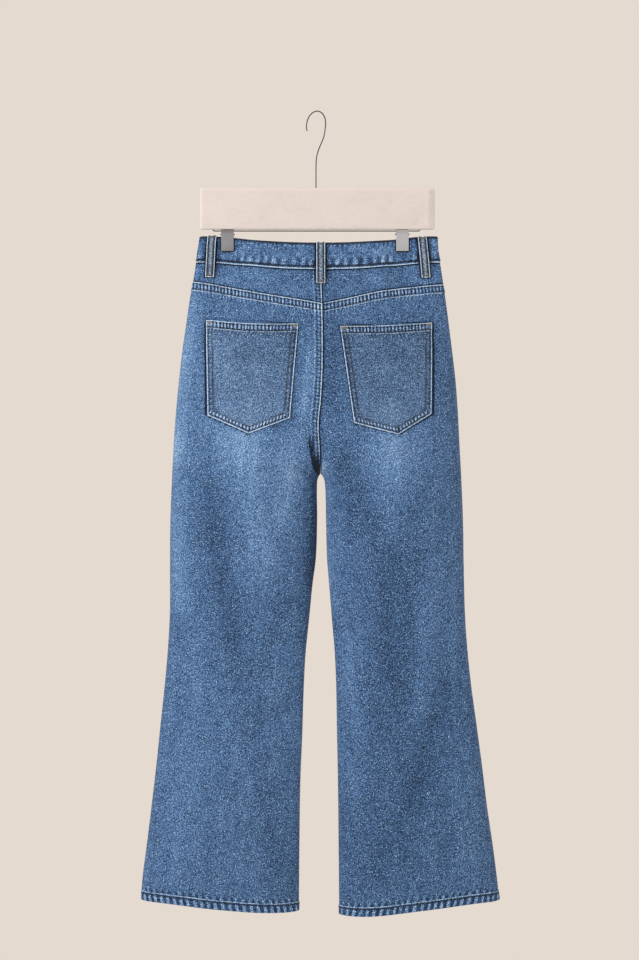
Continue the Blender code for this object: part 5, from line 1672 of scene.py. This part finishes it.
# ---------------------------------------------------------------- hard pieces
PRESSED_EDGE = 0.45
HOOK_WIRE, RAIL_WIRE, SPRING_WIRE = 0.68 * WIRE, 0.6 * WIRE, 0.42
# Painted light and shade: the left clip's steel is painted darker and the right clip's lighter.
CLIP_PAINTED_LIGHT = {LEFT: 0.72, RIGHT: 1.36}  # how the light finds each clip
WIRE_GRAIN, PLATE_GRAIN, BRASS_GRAIN = (0.4, 3.0, 3.0), (0.5, 0.5, 3.5), (1.5, 1.5, 1.5)


def mesh_of(bm, name):
    """A mesh with the form of a bmesh, which is freed."""
    mesh = bpy.data.meshes.new(name)
    bm.to_mesh(mesh)
    bm.free()
    return mesh


def pressed_plate(node, material):
    """The form of a packed plate with its edges softened as a press leaves them."""
    bm = bmesh.new()
    bm.from_mesh(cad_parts[node].data)
    bmesh.ops.remove_doubles(bm, verts=bm.verts, dist=0.00002)
    bmesh.ops.dissolve_limit(bm, angle_limit=math.radians(3), verts=bm.verts, edges=bm.edges)
    mesh = mesh_of(bm, f"steel_{node}")
    ob = make_object(f"steel_{node}", mesh, material, [node])
    bevel = ob.modifiers.new("pressed_edges", "BEVEL")
    bevel.width = PRESSED_EDGE * MM
    bevel.segments = 3
    bevel.limit_method = "ANGLE"
    bevel.angle_limit = math.radians(35)
    mesh.shade_smooth()
    mesh.set_sharp_from_angle(angle=math.radians(50))


def turned_mesh(name, profile, sides=72):
    """A mesh turned about Y from (distance along the axis, radius) points."""
    bm = bmesh.new()
    rings = [[bm.verts.new((radius * math.cos(a) * MM, along * MM, radius * math.sin(a) * MM))
              for a in np.linspace(0, 2 * math.pi, sides, endpoint=False)]
             for along, radius in profile]
    for lower, upper in zip(rings, rings[1:]):
        for k in range(sides):
            m = (k + 1) % sides
            bm.faces.new((lower[k], lower[m], upper[m], upper[k]))
    bm.faces.new(rings[0][::-1])
    bm.faces.new(rings[-1])
    bmesh.ops.recalc_face_normals(bm, faces=bm.faces)
    mesh = mesh_of(bm, name)
    mesh.shade_smooth()
    mesh.set_sharp_from_angle(angle=math.radians(40))
    return mesh


def waist_button():
    """A plain turned button with a rolled edge."""
    low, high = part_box("waist_button")
    back_y, front_y = high.y / MM, low.y / MM
    deep = back_y - front_y
    face_y = -deep * 0.83
    profile = [(0.0, 3.2), (-0.9, 3.2), (-1.0, 7.3), (-1.3, 8.2), (-1.8, 8.5), (-2.3, 8.45),
               (-2.75, 8.1), (face_y, 7.6), (-2.85, 7.0), (-2.62, 6.4), (-2.55, 5.4), (-2.62, 4.2),
               (-2.72, 3.4), (-2.78, 2.6), (-3.2, 2.2), (-3.5, 1.6), (-3.6, 0.7)]
    mesh = turned_mesh("brass_waist_button", profile)
    mesh.transform(Matrix.Translation(((low.x + high.x) / 2, high.y, (low.z + high.z) / 2)))
    brass = metal("aged_brass", bpy.context.scene.hanger_looks.brass, 0.38, BRASS_GRAIN)
    make_object("brass_waist_button", mesh, brass, ["waist_button"])


def wire(name, points, radius, material, nodes):
    """A round wire along points, as a smooth curve."""
    curve = bpy.data.curves.new(name, "CURVE")
    curve.dimensions = "3D"
    curve.bevel_depth = radius * MM
    curve.bevel_resolution = 5
    curve.use_fill_caps = True
    spline = curve.splines.new("POLY")
    spline.points.add(len(points) - 1)
    for place, point in zip(spline.points, points):
        place.co = (*(c * MM for c in point), 1)
    spline.use_smooth = True
    make_object(name, curve, material, nodes)


def smooth_path(points, steps):
    """Extra points on a smooth curve through the given ones."""
    p = np.array(points, dtype=float)
    p = np.vstack([2 * p[0] - p[1], p, 2 * p[-1] - p[-2]])
    path = []
    for i in range(1, len(p) - 2):
        for u in np.arange(steps) / steps:
            path.append(0.5 * (2 * p[i] + (p[i + 1] - p[i - 1]) * u
                               + (2 * p[i - 1] - 5 * p[i] + 4 * p[i + 1] - p[i + 2]) * u ** 2
                               + (3 * p[i] - p[i - 1] - 3 * p[i + 1] + p[i + 2]) * u ** 3))
    path.append(p[-2])
    return path


def on_hook(out, height):
    return (out * math.cos(HOOK_TURN), out * math.sin(HOOK_TURN), height)


def hanger_hook(material):
    """The hook with its bent shank, turned away from the bar."""
    shank = smooth_path([on_hook(s.out, -s.drop) for s in SHANK], 5)
    bend = [on_hook(HOOK_RADIUS * math.cos(a), WIRE - HOOK_RADIUS + HOOK_RADIUS * math.sin(a))
            for a in np.linspace(0, HOOK_TIP, 60)]
    wire("steel_hook", shank + bend, HOOK_WIRE, material, ["hanger_hook"])


def hanger_rail(material):
    """The wire below the bar, whose ends turn up into it."""
    ends = [[(RAIL_MIDDLE + k * (RAIL_END - RAIL_BEND * (1 - math.cos(a))), 0.0,
              -RAIL_DROP + RAIL_BEND * (1 - math.sin(a))) for a in np.linspace(0, math.pi / 2, 10)]
            for k in (1, -1)]
    middle = [(RAIL_MIDDLE + x, 0.0, -RAIL_DROP) for x in np.linspace(140, -140, 15)]
    wire("steel_rail", ends[0] + middle + ends[1][::-1], RAIL_WIRE, material, ["hanger_rail"])


def clip_spring(side, material):
    """The coil spring round a clip's pin."""
    turns, long, radius = 7, 9.4, 2.45
    points = [(CLIP_X[side] - long / 2 + long * u, radius * math.cos(turns * 2 * math.pi * u),
               -PIN_DROP + radius * math.sin(turns * 2 * math.pi * u))
              for u in np.linspace(0, 1, turns * 16 + 1)]
    wire(f"steel_spring_{NAMES[side]}", points, SPRING_WIRE, material, [])


COVER_CREASES = table(
    FOLD,
    (-168, 121, -168, 140, 5, 0.5), (-150, 168, -172, 146, 5, -0.7),
    (-168, 160, -168, 176, 2.2, 0.5), (120, 172, 168, 150, 8, 0.4), (40, 120, 90, 172, 14, -0.35),
    (-40, 122, -70, 170, 16, 0.35), (-110, 130, -96, 170, 9, -0.35), (150, 118, 172, 134, 6, -0.4),
    (-4, 114, -4, 132, 5, -0.35),
)


def hanger_cover():
    """A flat padded sleeve with a seam along its foot and soft creases."""
    around, along = 96, 190
    u = np.linspace(-1, 1, along)
    u = np.sign(u) * (1 - (1 - np.abs(u)) ** 1.25)
    a = 2 * math.pi * (np.arange(around) + 0.5) / around
    middle, half = (COVER_LEFT + COVER_RIGHT) / 2, (COVER_LEFT - COVER_RIGHT) / 2
    to_end = (1 - np.abs(u))[:, None] * half
    thin = 1 - 0.45 * (1 - np.sqrt(np.clip(1 - (1 - np.clip(to_end / 7, 0, 1)) ** 2, 0, 1)))
    high = (COVER_BOTTOM - COVER_TOP) / 2 - 1.6 * (1 - np.clip(to_end / 3.2, 0, 1)) ** 2
    c, d = np.cos(a)[None], np.sin(a)[None]
    y = COVER_DEEP / 2 * thin * np.sign(c) * np.abs(c) ** 0.45
    z = high * np.sign(d) * np.abs(d) ** 0.28
    x = np.broadcast_to(middle + u[:, None] * half, y.shape)
    drop = (COVER_TOP + COVER_BOTTOM) / 2 - z
    creases = fold_rise(COVER_CREASES, x, drop)
    flat = ease((high - np.abs(z)) / 6)
    foot = COVER_BOTTOM - drop
    relief = (creases * flat + 0.3 * noise(x / 37, drop / 21, 3) * flat
              + 0.14 * noise(x / 11, drop / 9, 4) * flat - 0.2 * bell((foot - 2.6) / 0.9))
    y = y + np.sign(y) * np.minimum(relief, 0.6)
    points = np.stack((x, y, -drop), -1)
    at = np.arange(along * around).reshape(along, around)
    after = np.roll(at, -1, axis=1)
    quads = np.stack((at[:-1], after[:-1], after[1:], at[1:]), -1).reshape(-1, 4)
    faces = quads.tolist() + [at[0, ::-1].tolist(), at[-1].tolist()]
    mesh = bpy.data.meshes.new("canvas_cover")
    mesh.from_pydata((points.reshape(-1, 3) * MM).tolist(), [], faces)
    lay_cloth(mesh, x.ravel(), drop.ravel())
    edge = np.minimum(drop - COVER_TOP, foot)
    # Painted light and shade: creases lighter and darker, painted highlights along the top, the
    # foot and the left end, and painted shade in the foot's seam and the crease by the right end.
    tone = (0.05 * creases + 0.34 * bell(edge / 3.5) - 0.05 * bell((foot - 2.6) / 0.7)
            + np.where(x > 0, 0.34 * bell(to_end / 2.6), -0.16 * bell((to_end - 6) / 3.5)))
    paint_layer(mesh, "tone", np.broadcast_to(tone, y.shape))
    mesh.shade_smooth()
    mesh.set_sharp_from_angle(angle=math.radians(65))
    ob = make_object("canvas_cover", mesh, canvas(), ["hanger_cover"])
    bm = bmesh.new()
    bm.from_mesh(mesh)
    bmesh.ops.recalc_face_normals(bm, faces=bm.faces)
    bm.to_mesh(mesh)
    bm.free()


# ---------------------------------------------------------------- stage
CAMERA_PLACE = (-0.00525, 3.0, -0.55175)
LENS = 75.0
FLOOR_DROP, FLOOR_RADIUS = 1.62, 1.25
LAMPS = table("name place size", ("key", (1.9, 2.3, 0.1), 1.6), ("fill", (-2.2, 2.0, -0.4), 1.8),
              ("far", (-0.5, -2.9, -0.2), 1.6))
LAMPS_AIM = (0, 0, -0.65)


def studio():
    """An even pale room with a floor, three soft lamps and the camera behind the jeans."""
    scene = bpy.context.scene
    looks = scene.stage_looks
    world = bpy.data.worlds.new("studio_room")
    world.use_nodes = True
    world.node_tree.nodes["Background"].inputs["Color"].default_value = (*looks.room, 1)
    scene.world = world
    scene.view_settings.view_transform = "Standard"

    bm = bmesh.new()
    bmesh.ops.create_circle(bm, cap_ends=True, segments=96, radius=FLOOR_RADIUS)
    mesh = mesh_of(bm, "studio_floor")
    s = Shader("floor_plaster")
    cloud = s.noise(s.node("ShaderNodeTexCoord").outputs["Object"], 4.0, flat=False)
    s.surface(Base_Color=s.ramp(cloud, [(0.3, tinted(looks.floor, 0.97)),
                                        (0.7, tuple(looks.floor))]), Roughness=0.9)
    mesh.materials.append(s.material)
    floor = bpy.data.objects.new("studio_floor", mesh)
    floor.location = (0, 0, -FLOOR_DROP)
    scene.collection.objects.link(floor)

    for lamp in LAMPS:
        light = bpy.data.lights.new(f"studio_{lamp.name}", "AREA")
        light.size, light.energy = lamp.size, getattr(looks, lamp.name)
        ob = bpy.data.objects.new(f"studio_{lamp.name}", light)
        ob.location = lamp.place
        aim = Vector(LAMPS_AIM) - ob.location
        ob.rotation_euler = aim.to_track_quat("-Z", "Y").to_euler()
        scene.collection.objects.link(ob)

    lens = bpy.data.cameras.new("studio_camera")
    lens.lens = LENS
    camera = bpy.data.objects.new("studio_camera", lens)
    camera.location = CAMERA_PLACE
    camera.rotation_euler = (math.radians(90), 0, math.radians(180))
    scene.collection.objects.link(camera)
    scene.camera = camera


# ---------------------------------------------------------------- operators
class JEANS_OT_waistband(bpy.types.Operator):
    """Make the waistband with its lap, stitches and puckers"""

    bl_idname = "jeans.waistband"
    bl_label = "Waistband"

    def execute(self, context):
        waistband()
        return {"FINISHED"}


class JEANS_OT_yokes(bpy.types.Operator):
    """Make both back yokes"""

    bl_idname = "jeans.yokes"
    bl_label = "Yokes"

    def execute(self, context):
        for side in (LEFT, RIGHT):
            yoke(side)
        return {"FINISHED"}


class JEANS_OT_back_legs(bpy.types.Operator):
    """Make both back leg panels with felled seams and hems"""

    bl_idname = "jeans.back_legs"
    bl_label = "Back legs"

    def execute(self, context):
        for side in (LEFT, RIGHT):
            back_panel(side)
        return {"FINISHED"}


class JEANS_OT_front_legs(bpy.types.Operator):
    """Make both front leg panels, the facings in their pocket mouths and the fly"""

    bl_idname = "jeans.front_legs"
    bl_label = "Front legs"

    def execute(self, context):
        for side in (LEFT, RIGHT):
            front_panel(side)
            pocket_facing(side)
        fly()
        return {"FINISHED"}


class JEANS_OT_back_pockets(bpy.types.Operator):
    """Make both back patch pockets"""

    bl_idname = "jeans.back_pockets"
    bl_label = "Back pockets"

    def execute(self, context):
        for patch in BACK_POCKETS:
            back_pocket(patch)
        return {"FINISHED"}


class JEANS_OT_belt_loops(bpy.types.Operator):
    """Make the five belt loops"""

    bl_idname = "jeans.belt_loops"
    bl_label = "Belt loops"

    def execute(self, context):
        for loop in BELT_LOOPS:
            belt_loop(loop)
        return {"FINISHED"}


class JEANS_OT_waist_button(bpy.types.Operator):
    """Make the waist button"""

    bl_idname = "jeans.waist_button"
    bl_label = "Waist button"

    def execute(self, context):
        waist_button()
        return {"FINISHED"}


class HANGER_OT_cover(bpy.types.Operator):
    """Make the bar's cloth cover"""

    bl_idname = "hanger.cover"
    bl_label = "Cover"

    def execute(self, context):
        hanger_cover()
        return {"FINISHED"}


class HANGER_OT_metal(bpy.types.Operator):
    """Make the hook, the rail and the two clips"""

    bl_idname = "hanger.metal"
    bl_label = "Hook, rail and clips"

    def execute(self, context):
        looks = context.scene.hanger_looks
        satin = metal("satin_wire", looks.wire, 0.32, WIRE_GRAIN)
        hanger_hook(satin)
        hanger_rail(metal("dull_wire", tinted(looks.wire, 0.15), 0.7, WIRE_GRAIN))
        for side, name in NAMES.items():
            # Each clip gets its own copy of the steel, painted darker on the left and lighter on
            # the right.
            plate = metal(f"pressed_steel_{name}", tinted(looks.clip, CLIP_PAINTED_LIGHT[side]), 0.45,
                          PLATE_GRAIN)
            for part in ("back_jaw", "front_jaw"):
                pressed_plate(f"clip_{name}_{part}", plate)
            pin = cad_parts[f"clip_{name}_pin"]
            pin.data.materials.clear()
            pin.data.materials.append(satin)
            clip_spring(side, satin)
        return {"FINISHED"}


class STAGE_OT_studio(bpy.types.Operator):
    """Make the floor, the light and the camera"""

    bl_idname = "stage.studio"
    bl_label = "Studio"

    def execute(self, context):
        studio()
        return {"FINISHED"}


class VIEW3D_PT_jeans(bpy.types.Panel):
    """Lists what can be made, and what can be changed before it is"""

    bl_label = "Jeans"
    bl_idname = "VIEW3D_PT_jeans"
    bl_space_type = "VIEW_3D"
    bl_region_type = "UI"
    bl_category = "Jeans"

    def draw(self, context):
        for group in (context.scene.jeans_cloth, context.scene.jeans_sewing,
                      context.scene.hanger_looks, context.scene.stage_looks):
            box = self.layout.box()
            for name in group.__annotations__:
                box.prop(group, name)
        for step in STEPS:
            self.layout.operator(step.bl_idname)


GROUPS = {"jeans_cloth": JeansCloth, "jeans_sewing": JeansSewing, "hanger_looks": HangerLooks,
          "stage_looks": StageLooks}
STEPS = (STAGE_OT_studio, JEANS_OT_waistband, JEANS_OT_yokes, JEANS_OT_back_legs,
         JEANS_OT_front_legs, JEANS_OT_back_pockets, JEANS_OT_belt_loops, JEANS_OT_waist_button,
         HANGER_OT_cover, HANGER_OT_metal)


def register():
    for name, group in GROUPS.items():
        bpy.utils.register_class(group)
        setattr(bpy.types.Scene, name, PointerProperty(type=group))
    for step in STEPS:
        bpy.utils.register_class(step)
    bpy.utils.register_class(VIEW3D_PT_jeans)


def unregister():
    bpy.utils.unregister_class(VIEW3D_PT_jeans)
    for step in reversed(STEPS):
        bpy.utils.unregister_class(step)
    for name, group in GROUPS.items():
        delattr(bpy.types.Scene, name)
        bpy.utils.unregister_class(group)


def main():
    register()
    bpy.ops.stage.studio()
    bpy.ops.jeans.waistband()
    bpy.ops.jeans.yokes()
    bpy.ops.jeans.back_legs()
    bpy.ops.jeans.front_legs()
    bpy.ops.jeans.back_pockets()
    bpy.ops.jeans.belt_loops()
    bpy.ops.jeans.waist_button()
    bpy.ops.hanger.cover()
    bpy.ops.hanger.metal()


if __name__ == "__main__":
    main()
